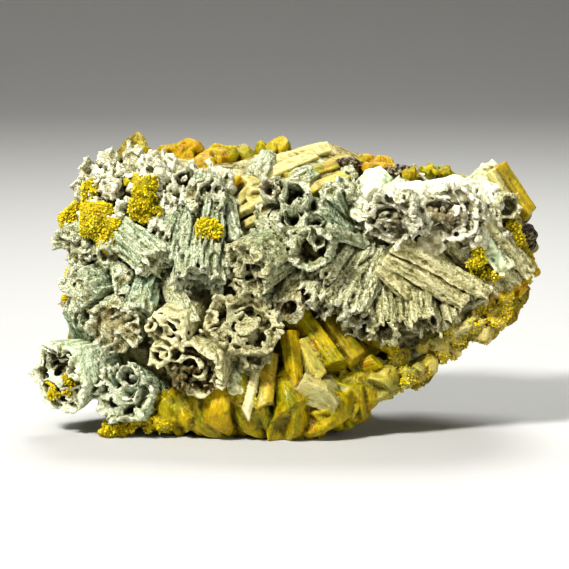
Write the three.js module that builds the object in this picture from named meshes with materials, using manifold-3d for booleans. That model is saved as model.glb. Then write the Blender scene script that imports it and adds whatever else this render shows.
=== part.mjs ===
// A plumbogummite pseudomorph: pyromorphite crystals that the paler mineral plumbogummite has coated
// and eaten hollow, grown together on a yellow-green pyromorphite body. It is one solid, so it is one
// mesh: every crystal, lump and ridge is joined to the body it grew from. Millimetres, +Z up, the
// crystals' open ends facing -Y, and the origin under the middle of the whole piece.

import * as THREE from 'three';
import { mergeVertices } from 'three/addons/utils/BufferGeometryUtils.js';
import Module from 'manifold-3d';

const wasm = await Module();
wasm.setup();

// ---- driving dimensions -------------------------------------------------------------------------

const WIDTH = 75; // the whole piece, left to right
const FRONT_OF_BODY = -7; // Y of the body's front, which the crystals' feet stand in
const BACK_OF_BODY = 15;
const EDGE_CUT = 6; // how far the body's front and back edges are rounded off
const WALL = 0.24; // wall of a hollow crystal, as a share of its radius
const HOLLOW_FLOOR = 0.6; // a hollow end narrows to this share of its mouth
const BARREL = 1.08; // a crystal is this much fatter at mid length than a straight taper
const CLOSED_RISE = 0.12; // a closed end rises to its middle by this share of its radius
const ROLL = 0.5; // a crystal is turned about its own axis by up to this angle, in radians
const RIM_STEP = 0.55; // how ragged a rim is, up and down
const BIG = 4.3; // a crystal of at least this radius gets a rim with twelve points instead of six
const SEPTUM = 0.7; // thickness of a wall that crosses a hollow end
const SEPTUM_SPAN = 1.5; // its width, as a share of the crystal's radius
const SEPTUM_STRAY = 0.2; // how far off the middle it may stand, as the same share
const LUMP_STRETCH = 0.12; // a lump is longer or shorter than round by up to this share
const REST_HEIGHT = 0; // the flat face the piece rests on

// The body's outline, seen from the front: [x, z], anticlockwise from the lower right of the flat foot.
const BODY_OUTLINE = [
  [11, -2], [16, 8], [24, 12], [32, 18], [35, 24], [34.5, 31], [29, 35.5], [18, 37.5], [3, 40],
  [-8, 39.5], [-20, 40.5], [-28, 38.5], [-30, 31], [-30.5, 22], [-29, 14], [-25.5, 6], [-24, -2],
];

// Crystals: [tip, root, [radius at the tip, at the root], depth of the hollow end, walls across it].
// A hollow of 0 is a closed end.
const CRYSTALS = [
  // lower left
  [[-33, -9, 8], [-20, 3, 13.5], [5, 3.1], 5, 1], // great cup
  [[-28, -5, 13], [-20, 3, 14], [3.6, 3], 0], // shoulder above it
  [[-25, -13, 16.5], [-17.5, 1, 20.5], [4.1, 3], 1.2], // filled end
  [[-24.5, -12, 6.5], [-18, 1, 3.5], [4.2, 3.3], 3, 1], // ragged cup
  [[-23, -12.5, 9], [-20, -4, 5.5], [1.6, 1.5], 3], // pipe on it
  // the double ring
  [[-17.5, -17, 16.5], [-11.5, -2, 21], [3.3, 2.5], 4], // upper ring
  [[-13.5, -17, 10.5], [-9, -1, 16], [4.4, 3.3], 4.5], // lower ring
  [[-18.5, -17.5, 13], [-15, -4, 13], [1.6, 1.3], 3], // bead
  // middle
  [[-5.5, -17, 16.5], [-6, 0, 4.5], [5.9, 3], 4, 3], // cellular end
  [[-7, -16, 26.5], [1.5, -5, 29], [3.8, 3.6], 4, 2], // pitted barrel
  [[-3.5, -13, 20], [-2.5, -7, 25.5], [1.9, 1.9], 0], // short post
  [[-12, -12, 36], [-10.5, 2, 29], [2.3, 3], 3], // bearer, crest
  [[-12.5, -13, 24.5], [-11.5, 0, 33], [3.6, 3.3], 4, 1], // bearer, foot
  [[-16, -12, 30], [-13.5, -2, 35.5], [2.4, 2.1], 0], // bearer, wing
  // left
  [[-21.5, -12, 20], [-19.5, -3, 26.5], [2.7, 2.2], 3.5], // green tube
  [[-14, -15, 18], [-17.5, -4, 25.5], [2.4, 2.1], 2], // pale pointed
  [[-20.5, -12, 27], [-17.5, -1, 32], [3, 2.7], 2.5], // jagged lip
  [[-31, -4, 27.5], [-23, 5, 29.5], [2.7, 2.5], 2], // edge crystal
  [[-30, -7, 22], [-21.5, 3, 24.5], [3.4, 2.9], 2], // crusted
  [[-26, -9, 25.5], [-22, -1, 32], [2.8, 2.5], 2], // inner crusted
  // the rosette and the cups round it
  [[1.5, -15, 37], [3, -2, 30], [2.5, 3.2], 4], // rosette, upper
  [[1, -15.5, 33], [3, -2, 29], [2.6, 2.5], 4], // rosette, lower
  [[-2, -13, 37], [1, -4, 32.5], [1.6, 1.5], 3], // rosette, side
  [[3.5, -17, 28], [6.5, -4, 28.5], [3.1, 2.5], 4.5], // deep cup
  [[0, -14, 20.5], [3, -5, 24], [2.2, 1.8], 3], // small tube
  [[6.5, -14, 20.5], [14.5, -4, 27.5], [4.1, 2.5], 4, 2], // ragged mouth
  [[4.5, -12, 23.5], [7, -5, 27], [1.3, 1.3], 0], // wedge
  // right
  [[11, -13, 16.5], [14, -4, 21], [2.7, 2.4], 3], // hanging tube
  [[14.5, -12, 15.5], [16.5, -4, 25], [3.2, 2.7], 2.5], // hanging ragged
  [[20.5, -10, 15.5], [21, -2, 24.5], [3, 2.7], 2], // hanging block
  [[24.5, -9, 17], [25.5, -4, 24], [0.9, 0.9], 0], // thin hanging
  [[30, -6, 20], [17, -8, 28], [1.5, 1.9], 0], // long, upper
  [[28.5, -7, 17], [15.5, -8, 25.5], [1.3, 1.8], 0], // long, lower
  [[34.5, -4, 21.5], [27, -7, 31], [1.3, 1.6], 0], // long white
  [[32.5, -5, 20.5], [22.5, -8, 29.5], [1.3, 1.6], 0], // middle white
  [[15.5, -15, 33.5], [19.5, -1, 34.5], [4.7, 3.6], 3, 2], // broad end
  [[7.5, -13, 33.5], [9.5, -3, 38], [3.4, 3], 2], // pitted green
  [[23.5, -12, 33.5], [25.5, 3, 34.5], [4.6, 3.9], 3, 1], // white barrel
  [[33, -9, 34], [30.5, 1, 33], [1.9, 1.8], 3], // small rosette
  [[36, -2, 23.5], [32, -3, 32.5], [1.9, 2.4], 0], // right side
  [[36.5, -2, 32], [32, -1, 38.5], [1.8, 1.9], 0], // orange
  [[31, -2, 38.5], [28, 2, 32.5], [1.9, 2.4], 0], // grey shoulder
  // top left
  [[-26.5, -7, 39], [-24, 5, 35], [3, 2.9], 3.5], // brown cup
  [[-29.5, -2, 40], [-27, 8, 35.5], [2.5, 2.5], 2], // corner
  [[-23.5, 0, 41.5], [-22, 9, 36], [2.5, 2.5], 1.5], // back corner
  [[-18, -3, 41], [-16.5, 6, 34.5], [2.5, 2.5], 1.5], // top left middle
  [[-20.5, -10, 34.5], [-18.5, 1, 31], [2.7, 2.5], 3.5], // olive cup
  [[-15, -9, 38], [-14, 2, 32], [2.2, 2.4], 3], // small cells
  [[-23, -9, 34], [-20.5, -1, 37.5], [1.3, 1.6], 0], // long wall
  [[-19.5, -10, 31], [-18, -1, 31.5], [1.8, 1.9], 2.5], // twin cells
  // flat yellow prisms on the top
  [[8, 1, 40], [0.5, -6, 37], [1.9, 2.2], 0], // yellow slab
  [[3, 1, 39.5], [-5.5, -7, 37], [1.6, 1.9], 0], // upper prism
  [[8, -3, 37.5], [2.5, -8, 35], [1.5, 1.8], 0], // green prism
  [[-3, -10, 34], [-8.5, -5, 31.5], [1.1, 1.3], 0], // valley, upper
  [[-3, -10, 32], [-7.5, -5, 29], [0.9, 1.2], 0], // valley, lower
  [[-5, -7, 36], [-7.5, -4, 32], [1.3, 1.5], 0], // dark prism
  // flat yellow prisms at the foot
  [[-4.5, -12, 5.5], [-3, -7, 10.5], [1.2, 1.2], 0], // blade
  [[3, -13, 14.5], [2, -8, 5], [1.9, 2.2], 0], // upright
  [[7, -10, 15.5], [11, -7, 9], [1.8, 1.9], 0], // leaning
  [[7, -13, 6], [0.5, -8, 9.5], [2.1, 2.1], 0], // lying
];

// Lumps of yellow pyromorphite: [x, y, z, radius].
const LUMPS = [
  [-17.5, -9, 2.5, 3.2], [-11.5, -10.5, 3.5, 3.6], [-6, -9, 2.5, 3.4], [-1, -11.5, 3, 3.8],
  [4.5, -10, 2, 3], [9.5, -9.5, 4.5, 3.2], [13.5, -7.5, 8, 3.4], [18.5, -7, 10.5, 3],
  [23, -6.5, 12.8, 2.8], [27.5, -5.5, 15.2, 3], [32, -5, 19, 3], [35, -3, 24, 2.2],
  [35.5, -2, 29, 1.9], [-14.8, 6, 41, 2.6], [-9.2, 5, 41, 2.4], [-12, 1, 39, 2.2],
  [0, 4, 41.5, 2.4], [13.5, 3, 38, 2.3], [18, 4, 37.5, 1.9], [22.5, 2, 37.5, 2],
  [-28, -5, 31, 2.7], [-30, -2, 34.5, 2.2], [-11.5, -10, 29.5, 2], [36, 1, 28, 2.2],
  [-23, 8, 38.5, 4.2], [-6, 9, 37.5, 4.6], [8, 8, 36.5, 4.4], [24, 6, 34.5, 4.2],
  [33, 5, 30, 4], [-29, 6, 31, 4.3], [-29.5, 7, 20, 4.4],
];

// Stubby crystals and lumps cover the back and the underside in rows.
const BACK_ROWS = [
  { z: 8, fromX: -20, toX: 7, count: 3 },
  { z: 16.5, fromX: -25, toX: 20, count: 5 },
  { z: 25, fromX: -26, toX: 29, count: 6 },
  { z: 33.5, fromX: -24, toX: 26, count: 5 },
];
const BACK_ROOT = 6.5; // how deep a crystal of the back stands in the body
const BACK_STANDS_OUT = 2.6;
const BACK_RADIUS = 3.9;
const BACK_LEAN = 3.2; // how far its tip may stand off sideways
const BACK_UNEVEN = [0.28, 0.8]; // how much its radius and its length may differ, as shares
const BACK_HOLLOW = 1.8; // every fifth one has a hollow end this deep
const UNDER_ROWS = [
  { from: [14, -1, 6.5], to: [33, 0, 19], count: 5 },
  { from: [13, 6, 6.5], to: [32, 7, 19], count: 5 },
  { from: [-29, 2, 13], to: [-23, 5, 3.5], count: 3 },
];
const UNDER_RADIUS = 3.4;

const MATERIAL = new THREE.MeshStandardMaterial({ color: 0xc9d0b0, roughness: 0.85, metalness: 0 });

// ---- shapes and joins ---------------------------------------------------------------------------

// A number from -1 to 1 that looks random and is the same every time.
function vary(a, b = 0) {
  const s = Math.sin(a * 12.9898 + b * 78.233) * 43758.5453;
  return 2 * (s - Math.floor(s)) - 1;
}

function solidOf(geometry) {
  geometry.deleteAttribute('normal');
  geometry.deleteAttribute('uv');
  const merged = mergeVertices(geometry, 1e-3);
  const corners = merged.index.array;
  const triVerts = [];
  for (let i = 0; i < corners.length; i += 3) {
    const [a, b, c] = corners.slice(i, i + 3);
    if (a !== b && b !== c && c !== a) triVerts.push(a, b, c);
  }
  return new wasm.Manifold(new wasm.Mesh({
    numProp: 3,
    vertProperties: new Float32Array(merged.attributes.position.array),
    triVerts: new Uint32Array(triVerts),
  }));
}

// Stands a shape made along +Y on its root, pointing at its tip.
function standOn(geometry, root, tip, roll) {
  const along = tip.clone().sub(root).normalize();
  geometry.rotateY(roll);
  geometry.applyQuaternion(new THREE.Quaternion().setFromUnitVectors(new THREE.Vector3(0, 1, 0), along));
  geometry.translate(root.x, root.y, root.z);
  return geometry;
}

// A six-sided crystal: flat faces, a slight barrel shape, and an open or a closed ragged end.
function crystalGeometry([tipRadius, rootRadius], hollow, length, seed) {
  const middle = BARREL * (tipRadius + rootRadius) / 2;
  const inner = tipRadius * (1 - WALL);
  const foot = [new THREE.Vector2(0, 0), new THREE.Vector2(rootRadius, 0)];
  const openEnd = [
    new THREE.Vector2(middle, length * 0.5),
    new THREE.Vector2(tipRadius, length),
    new THREE.Vector2(inner, length),
    new THREE.Vector2(inner * HOLLOW_FLOOR, length - hollow),
    new THREE.Vector2(0, length - hollow),
  ];
  const closedEnd = [
    new THREE.Vector2(tipRadius, length),
    new THREE.Vector2(0, length + CLOSED_RISE * tipRadius),
  ];
  const profile = [...foot, ...(hollow > 0 ? openEnd : closedEnd)];
  const sides = tipRadius >= BIG && hollow > 0 ? 12 : 6;
  const geometry = new THREE.LatheGeometry(profile, sides);
  const place = geometry.attributes.position;
  for (let i = 0; i < place.count; i++) {
    const around = Math.floor(i / profile.length) % sides;
    const ring = i % profile.length;
    const middleOfFace = sides === 12 && around % 2 === 1;
    const across = middleOfFace ? Math.cos(Math.PI / 6) : 1;
    const onRim = hollow > 0 && (ring === 3 || ring === 4);
    const up = onRim ? RIM_STEP * vary(around, seed) * Math.min(1, tipRadius / BIG) : 0;
    place.setXYZ(i, place.getX(i) * across, place.getY(i) + up, place.getZ(i) * across);
  }
  return geometry;
}

// Thin walls that cross a crystal's hollow end a little below its rim.
function septa(tipRadius, hollow, walls, length, seed) {
  const made = [];
  for (let i = 0; i < walls; i++) {
    const wall = new THREE.BoxGeometry(tipRadius * SEPTUM_SPAN, hollow, SEPTUM);
    wall.rotateY(Math.PI * i / walls + ROLL * vary(seed, i));
    wall.translate(tipRadius * SEPTUM_STRAY * vary(i, seed), length - hollow / 2 - SEPTUM, 0);
    made.push(wall);
  }
  return made;
}

function crystalSolids([tipPlace, rootPlace, radius, hollow, walls = 0], seed) {
  const root = new THREE.Vector3(...rootPlace);
  const tip = new THREE.Vector3(...tipPlace);
  const length = root.distanceTo(tip);
  const roll = ROLL * vary(seed, 7);
  const shapes = [crystalGeometry(radius, hollow, length, seed)];
  shapes.push(...septa(radius[0], hollow, walls, length, seed));
  return shapes.map((geometry) => solidOf(standOn(geometry, root, tip, roll)));
}

// A lump with flat facets, no two alike.
function lumpSolid([x, y, z, radius], seed) {
  const geometry = new THREE.DodecahedronGeometry(radius);
  geometry.rotateX(seed);
  geometry.rotateZ(2 * seed);
  geometry.scale(1 + LUMP_STRETCH * vary(seed, 1), 1 + LUMP_STRETCH * vary(seed, 2), 1);
  geometry.translate(x, y, z);
  return solidOf(geometry);
}

// The body: its outline drawn out from front to back, with both edges rounded off.
function bodySolid() {
  const outline = new THREE.Shape(BODY_OUTLINE.map(([x, z]) => new THREE.Vector2(x, z)));
  const geometry = new THREE.ExtrudeGeometry(outline, {
    depth: BACK_OF_BODY - FRONT_OF_BODY - 2 * EDGE_CUT,
    bevelEnabled: true,
    bevelThickness: EDGE_CUT,
    bevelSize: EDGE_CUT,
    bevelOffset: -EDGE_CUT,
    bevelSegments: 2,
  });
  geometry.rotateX(Math.PI / 2);
  geometry.translate(0, BACK_OF_BODY - EDGE_CUT, 0);
  return solidOf(geometry);
}

// Stubby crystals on the back, standing out a little every way.
function backSolids() {
  const made = [];
  BACK_ROWS.forEach(({ z, fromX, toX, count }, row) => {
    for (let i = 0; i < count; i++) {
      const seed = 10 * row + i;
      const x = fromX + (toX - fromX) * (i / (count - 1));
      const size = BACK_RADIUS * (1 + BACK_UNEVEN[0] * vary(seed, 3));
      const out = BACK_STANDS_OUT * (1 + BACK_UNEVEN[1] * vary(seed, 5));
      const root = [x, BACK_OF_BODY - BACK_ROOT, z];
      const tip = [x + BACK_LEAN * vary(seed, 4), BACK_OF_BODY + out, z + BACK_LEAN * vary(seed, 6)];
      const hollow = seed % 5 === 0 ? BACK_HOLLOW : 0;
      made.push(...crystalSolids([tip, root, [size, size], hollow], 100 + seed));
    }
  });
  return made;
}

function underSolids() {
  const made = [];
  UNDER_ROWS.forEach(({ from, to, count }, row) => {
    for (let i = 0; i < count; i++) {
      const share = i / (count - 1);
      const [x, y, z] = from.map((start, axis) => start + (to[axis] - start) * share);
      made.push(lumpSolid([x, y, z, UNDER_RADIUS * (1 + LUMP_STRETCH * vary(row, i))], 50 + 10 * row + i));
    }
  });
  return made;
}

// Everything below the rest face is cut away flat.
function belowRest() {
  const depth = 20;
  const block = new THREE.BoxGeometry(2 * WIDTH, 2 * WIDTH, depth);
  block.translate(0, 0, REST_HEIGHT - depth / 2);
  return solidOf(block);
}

// The outer skin of a joined solid. Pockets that crystals close off between them are left filled.
function outerSkin({ vertProperties, triVerts }) {
  const owner = Array.from({ length: vertProperties.length / 3 }, (_, i) => i);
  const find = (i) => {
    while (owner[i] !== i) {
      owner[i] = owner[owner[i]];
      i = owner[i];
    }
    return i;
  };
  for (let i = 0; i < triVerts.length; i += 3) {
    owner[find(triVerts[i])] = find(triVerts[i + 1]);
    owner[find(triVerts[i + 1])] = find(triVerts[i + 2]);
  }
  const counts = new Map();
  triVerts.forEach((corner) => counts.set(find(corner), (counts.get(find(corner)) ?? 0) + 1));
  const [skin] = [...counts].sort((a, b) => b[1] - a[1])[0];
  return triVerts.filter((corner) => find(corner) === skin);
}

function clusterGeometry() {
  const pieces = [
    ...CRYSTALS.flatMap((crystal, i) => crystalSolids(crystal, i + 1)),
    ...LUMPS.map((lump, i) => lumpSolid(lump, i + 1)),
    ...backSolids(),
    ...underSolids(),
  ];
  const joined = pieces.reduce((sum, piece) => sum.add(piece), bodySolid());
  const mesh = joined.subtract(belowRest()).getMesh();
  const geometry = new THREE.BufferGeometry();
  geometry.setAttribute('position', new THREE.BufferAttribute(mesh.vertProperties, 3));
  geometry.setIndex(new THREE.BufferAttribute(outerSkin(mesh), 1));
  return geometry;
}

const cluster = new THREE.Mesh(clusterGeometry(), MATERIAL);
cluster.name = 'crystal_cluster';

const specimen = new THREE.Group();
specimen.add(cluster);

export default specimen;
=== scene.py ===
import math

import bpy
import numpy as np
import openvdb
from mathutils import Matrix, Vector


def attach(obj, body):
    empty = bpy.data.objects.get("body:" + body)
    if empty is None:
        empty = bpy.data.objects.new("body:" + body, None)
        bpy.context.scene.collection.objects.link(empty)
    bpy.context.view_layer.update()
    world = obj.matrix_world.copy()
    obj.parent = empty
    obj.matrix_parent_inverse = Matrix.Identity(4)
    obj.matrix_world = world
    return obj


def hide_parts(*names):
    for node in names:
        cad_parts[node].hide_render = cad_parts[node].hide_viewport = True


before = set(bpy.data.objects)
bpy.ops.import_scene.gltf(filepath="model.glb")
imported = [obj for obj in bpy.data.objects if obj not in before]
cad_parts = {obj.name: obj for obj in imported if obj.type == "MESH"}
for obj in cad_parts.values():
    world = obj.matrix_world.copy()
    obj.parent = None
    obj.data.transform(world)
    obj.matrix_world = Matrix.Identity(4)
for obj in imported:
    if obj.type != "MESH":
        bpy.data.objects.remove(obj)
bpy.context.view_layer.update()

# ---- Camera ------------------------------------------------------------------------------------
# A long lens a little above the level of the specimen and square to its crystal-covered front, so
# that near and far crystals keep their sizes.

PICTURE_PIXELS = 569
MM_PER_PIXEL = 0.15
CAMERA_RISE = math.radians(8)
CAMERA_DISTANCE = 0.55
VIEW_CENTRE = Vector((0.0, 0.0, 0.0212))

camera_data = bpy.data.cameras.new("camera")
camera_data.sensor_width = 36
camera_data.lens = camera_data.sensor_width * CAMERA_DISTANCE / (PICTURE_PIXELS * MM_PER_PIXEL / 1000)
camera_data.clip_start = 0.01
camera = bpy.data.objects.new("camera", camera_data)
camera.location = VIEW_CENTRE + CAMERA_DISTANCE * Vector((0, -math.cos(CAMERA_RISE), math.sin(CAMERA_RISE)))
camera.rotation_euler = (math.pi / 2 - CAMERA_RISE, 0, 0)
bpy.context.collection.objects.link(camera)
bpy.context.scene.camera = camera

# ---- Table and studio light --------------------------------------------------------------------
# A plain pale table, a large soft light high on the left, a weaker one on the right and a broad
# pale surround.

TABLE_COLOUR = (0.45, 0.45, 0.44)
TABLE_HALF, SWEEP_FROM, SWEEP_RADIUS = 3, 0.5, 0.4  # metres; behind, the table sweeps up like a backdrop
SURROUND_COLOUR = (0.8, 0.79, 0.75, 1)
SURROUND_STRENGTH = 0.12
LIGHTS = [
    # place, size, power, colour
    ((-0.22, -0.27, 0.37), 0.10, 4.4, (1.0, 0.98, 0.95)),
    ((0.26, -0.36, 0.09), 0.20, 0.7, (1.0, 0.99, 0.96)),
    ((0.04, 0.24, 0.36), 0.20, 1.6, (1.0, 1.0, 0.98)),
]
bpy.context.scene.view_settings.view_transform = "Standard"
bpy.context.scene.view_settings.look = "Medium High Contrast"


def paint(name, colour, roughness):
    """A material with its main shader ready to be wired."""
    material = bpy.data.materials.new(name)
    material.use_nodes = True
    shader = material.node_tree.nodes["Principled BSDF"]
    shader.inputs["Base Color"].default_value = (*colour, 1)
    shader.inputs["Roughness"].default_value = roughness
    return material, material.node_tree, shader


sweep = [(-TABLE_HALF, 0), (SWEEP_FROM, 0)]
for turn in np.linspace(0.1, 1.57, 14):
    rise = SWEEP_RADIUS - SWEEP_RADIUS * math.cos(turn)
    sweep.append((SWEEP_FROM + SWEEP_RADIUS * math.sin(turn), rise))
sweep.append((SWEEP_FROM + SWEEP_RADIUS, TABLE_HALF))
table_mesh = bpy.data.meshes.new("table")
table_mesh.from_pydata(
    [(side, y, z) for y, z in sweep for side in (-TABLE_HALF, TABLE_HALF)], [],
    [(2 * i, 2 * i + 1, 2 * i + 3, 2 * i + 2) for i in range(len(sweep) - 1)],
)
table_mesh.polygons.foreach_set("use_smooth", [True] * len(table_mesh.polygons))
table = bpy.data.objects.new("table", table_mesh)
bpy.context.collection.objects.link(table)
table.data.materials.append(paint("table paint", TABLE_COLOUR, 0.6)[0])

for number, (place, size, power, colour) in enumerate(LIGHTS):
    light_data = bpy.data.lights.new(f"softbox {number}", "AREA")
    light_data.size = size
    light_data.energy = power
    light_data.color = colour
    light = bpy.data.objects.new(f"softbox {number}", light_data)
    light.location = place
    light.rotation_euler = (VIEW_CENTRE - Vector(place)).to_track_quat("-Z", "Y").to_euler()
    bpy.context.collection.objects.link(light)

world = bpy.data.worlds.new("surround")
world.use_nodes = True
world.node_tree.nodes["Background"].inputs["Color"].default_value = SURROUND_COLOUR
world.node_tree.nodes["Background"].inputs["Strength"].default_value = SURROUND_STRENGTH
bpy.context.scene.world = world

# ---- Yellow-green body -------------------------------------------------------------------------
# The pyromorphite that everything grew from: a lumpy body, rounded off at its front and back edges
# and broken off flat where it rests. It is grown in a field of distances, as all the pieces are.

BODY_STEP = 0.4
BODY_OUTLINE = [
    (11, -2), (16, 8), (24, 12), (32, 18), (35, 24), (34.5, 31), (29, 35.5), (18, 37.5), (3, 40),
    (-8, 39.5), (-20, 40.5), (-28, 38.5), (-30, 31), (-30.5, 22), (-29, 14), (-25.5, 6), (-24, -2),
]
BODY_FRONT = -7
BODY_BACK = 15
EDGE_ROUND = 6
ZONES = ("hollow", "rim", "teal", "yellow", "orange", "limonite", "cream", "smooth", "druse")
TILE = 128  # cubes along one side of a tile of noise
EVEN_OUT = 2.4  # brings the smoothed noise back to about -1 to 1
FAR, JOIN_REACH = 9, 2  # mm: where nothing has grown, and how far off its surface a shape still counts
LEAST_SKIN = 150  # volume under which a separate skin is a crumb, in cubes of the field
GROOVE_SHADE_DEPTH, RIDGE_HIGHLIGHT_HEIGHT, CREVICE_SHADE_DEPTH = 0.12, 0.14, 0.5  # mm at which each painted shade and highlight is at its full colour
NEAR, WIDE = (0.4, 0.8), (1.4, 2)  # mm: how far round, and how deep, creases and ridges are sought for painted shade and highlight
tiles = {}


def noise_tile(count, seed):
    """A block of smooth noise of about -1 to 1, in count lumps each way, that repeats at its edges."""
    tile = np.random.default_rng(seed).uniform(-1, 1, (count,) * 3).astype(np.float32)
    place = np.arange(TILE) * count / TILE
    cell = place.astype(int)
    f = place - cell
    weights = np.zeros((TILE, count), np.float32)
    shares = ((1 - f) ** 3, 3 * f**3 - 6 * f**2 + 4, -3 * f**3 + 3 * f**2 + 3 * f + 1, f**3)
    for offset, share in enumerate(shares):
        weights[np.arange(TILE), (cell + offset) % count] = share / 6
    for axis in range(3):
        tile = np.moveaxis(np.tensordot(weights, tile, axes=(1, axis)), 0, axis)
    return np.ascontiguousarray(tile) * EVEN_OUT


class Field:
    """A block of space in small cubes. Each holds its distance to the mineral's surface, in mm,
    and how much it belongs to each zone of colour, from 0 to 255."""

    def __init__(self, low, high, step, seed):
        self.low, self.step, self.seed = np.array(low, float), step, seed
        self.shape = tuple(int(math.ceil((b - a) / step)) + 1 for a, b in zip(low, high))
        self.distance = np.full(self.shape, FAR, np.float32)
        self.zones = np.zeros((*self.shape, len(ZONES)), np.uint8)
        self.grown_by = np.zeros(self.shape, np.uint16)
        self.fibres = [np.eye(3, 4)]
        self.bend = [self.noise(5.5, 1), self.noise(5.5, 2)]
        self.maze = self.noise(1.3, 6)
        self.sheet = np.abs(self.noise(1.2, 7))
        self.flake = np.maximum(1 - 5 * self.sheet, -1)
        self.coarse, self.fine, self.grain = self.noise(2.2, 3), self.noise(1.0, 4), self.noise(0.5, 5)

    def noise(self, size, number):
        """Smooth noise in lumps of the given size in mm: a tile of it, laid from a place of its own."""
        key = (max(4, round(TILE * self.step / size)), number)
        if key not in tiles:
            tiles[key] = noise_tile(*key)
        start = np.random.default_rng(self.seed * 100 + number).integers(0, TILE, 3)
        return tiles[key][np.ix_(*((np.arange(n) + s) % TILE for n, s in zip(self.shape, start)))]

    def part(self, low, high):
        """The cubes between two corners, and their coordinates."""
        first = np.clip(np.floor((np.array(low) - self.low) / self.step).astype(int), 0, self.shape)
        last = np.clip(np.ceil((np.array(high) - self.low) / self.step).astype(int) + 1, 0, self.shape)
        where = tuple(slice(a, b) for a, b in zip(first, last))
        x, y, z = (
            (self.low[i] + self.step * np.arange(first[i], last[i])).astype(np.float32) for i in range(3)
        )
        return where, x[:, None, None], y[None, :, None], z[None, None, :]

    def everywhere(self):
        return self.part(self.low, self.low + self.step * np.array(self.shape))

    def join(self, where, distance, zones, fibres=None):
        """Adds a shape: whichever surface is outermost keeps its own zones, and its own fibres, which
        are the turn and shift that take a place to the directions its grain runs in."""
        nearer = np.nonzero(distance < np.minimum(self.distance[where], JOIN_REACH))
        self.distance[where][nearer] = distance[nearer]
        shades = np.zeros((len(nearer[0]), len(ZONES)), np.uint8)
        for number, zone in enumerate(ZONES):
            share = zones.get(zone, 0)
            if np.ndim(share):
                share = np.clip(share[nearer], 0, 1)
            shades[:, number] = 255 * share
        self.zones[where][nearer] = shades
        if fibres is not None:
            self.fibres.append(fibres)
        self.grown_by[where][nearer] = 0 if fibres is None else len(self.fibres) - 1

    def at(self, place):
        """The distance to the surface at one place."""
        cell = np.round((np.array(place) - self.low) / self.step).astype(int)
        return self.distance[tuple(np.clip(cell, 0, np.array(self.shape) - 1))]


def body_distance(x, y, z, inset=0.0):
    """Distance to the rounded body. x, y and z broadcast together."""
    outline = np.array(BODY_OUTLINE, np.float32)
    px, pz = np.broadcast_arrays(x, z)
    px, pz = px[:, :1, :], pz[:, :1, :]
    nearest = np.full(px.shape, 1e6, np.float32)
    inside = np.zeros(px.shape, bool)
    for (ax, az), (bx, bz) in zip(outline, np.roll(outline, -1, axis=0)):
        ex, ez = bx - ax, bz - az
        along = np.clip(((px - ax) * ex + (pz - az) * ez) / (ex * ex + ez * ez), 0, 1)
        nearest = np.minimum(nearest, (px - ax - along * ex) ** 2 + (pz - az - along * ez) ** 2)
        crosses = (az > pz) != (bz > pz)
        inside ^= crosses & (px < ax + ex * (pz - az) / np.where(ez == 0, 1, ez))
    flat = np.where(inside, -1, 1) * np.sqrt(nearest) + EDGE_ROUND + inset
    deep = np.abs(y - (BODY_FRONT + BODY_BACK) / 2) - (BODY_BACK - BODY_FRONT) / 2 + EDGE_ROUND + inset
    outside = np.hypot(np.maximum(flat, 0), np.maximum(deep, 0))
    return outside + np.minimum(np.maximum(flat, deep), 0) - EDGE_ROUND


def loose_ends_removed(points, faces):
    """Keeps the large closed skins of a mesh: crumbs that hang free and sealed bubbles go."""
    label = np.arange(len(points))
    a, b = faces.reshape(-1), np.roll(faces, -1, axis=1).reshape(-1)
    while True:
        before = label.copy()
        lower = np.minimum(label[a], label[b])
        np.minimum.at(label, a, lower)
        np.minimum.at(label, b, lower)
        label = label[label]
        if np.array_equal(before, label):
            break
    corner = points[faces]
    volume = np.einsum("ij,ij->i", corner[:, 0], np.cross(corner[:, 1], corner[:, 2])) / 6
    total = np.bincount(label[faces[:, 0]], weights=volume, minlength=len(points))
    kept = total[label] > LEAST_SKIN
    number = np.cumsum(kept) - 1
    return points[kept], number[faces[kept[faces[:, 0]]]]


def smoothed(values, reach):
    """Values averaged over a block that reaches so many cubes each way."""
    for axis in range(3):
        count = values.shape[axis]
        total = np.pad(values, [(reach + 1, reach) if i == axis else (0, 0) for i in range(3)], mode="edge")
        total = np.moveaxis(np.cumsum(total, axis=axis), axis, 0)
        values = np.moveaxis((total[2 * reach + 1 :] - total[:count]) / (2 * reach + 1), 0, axis)
    return values


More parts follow.
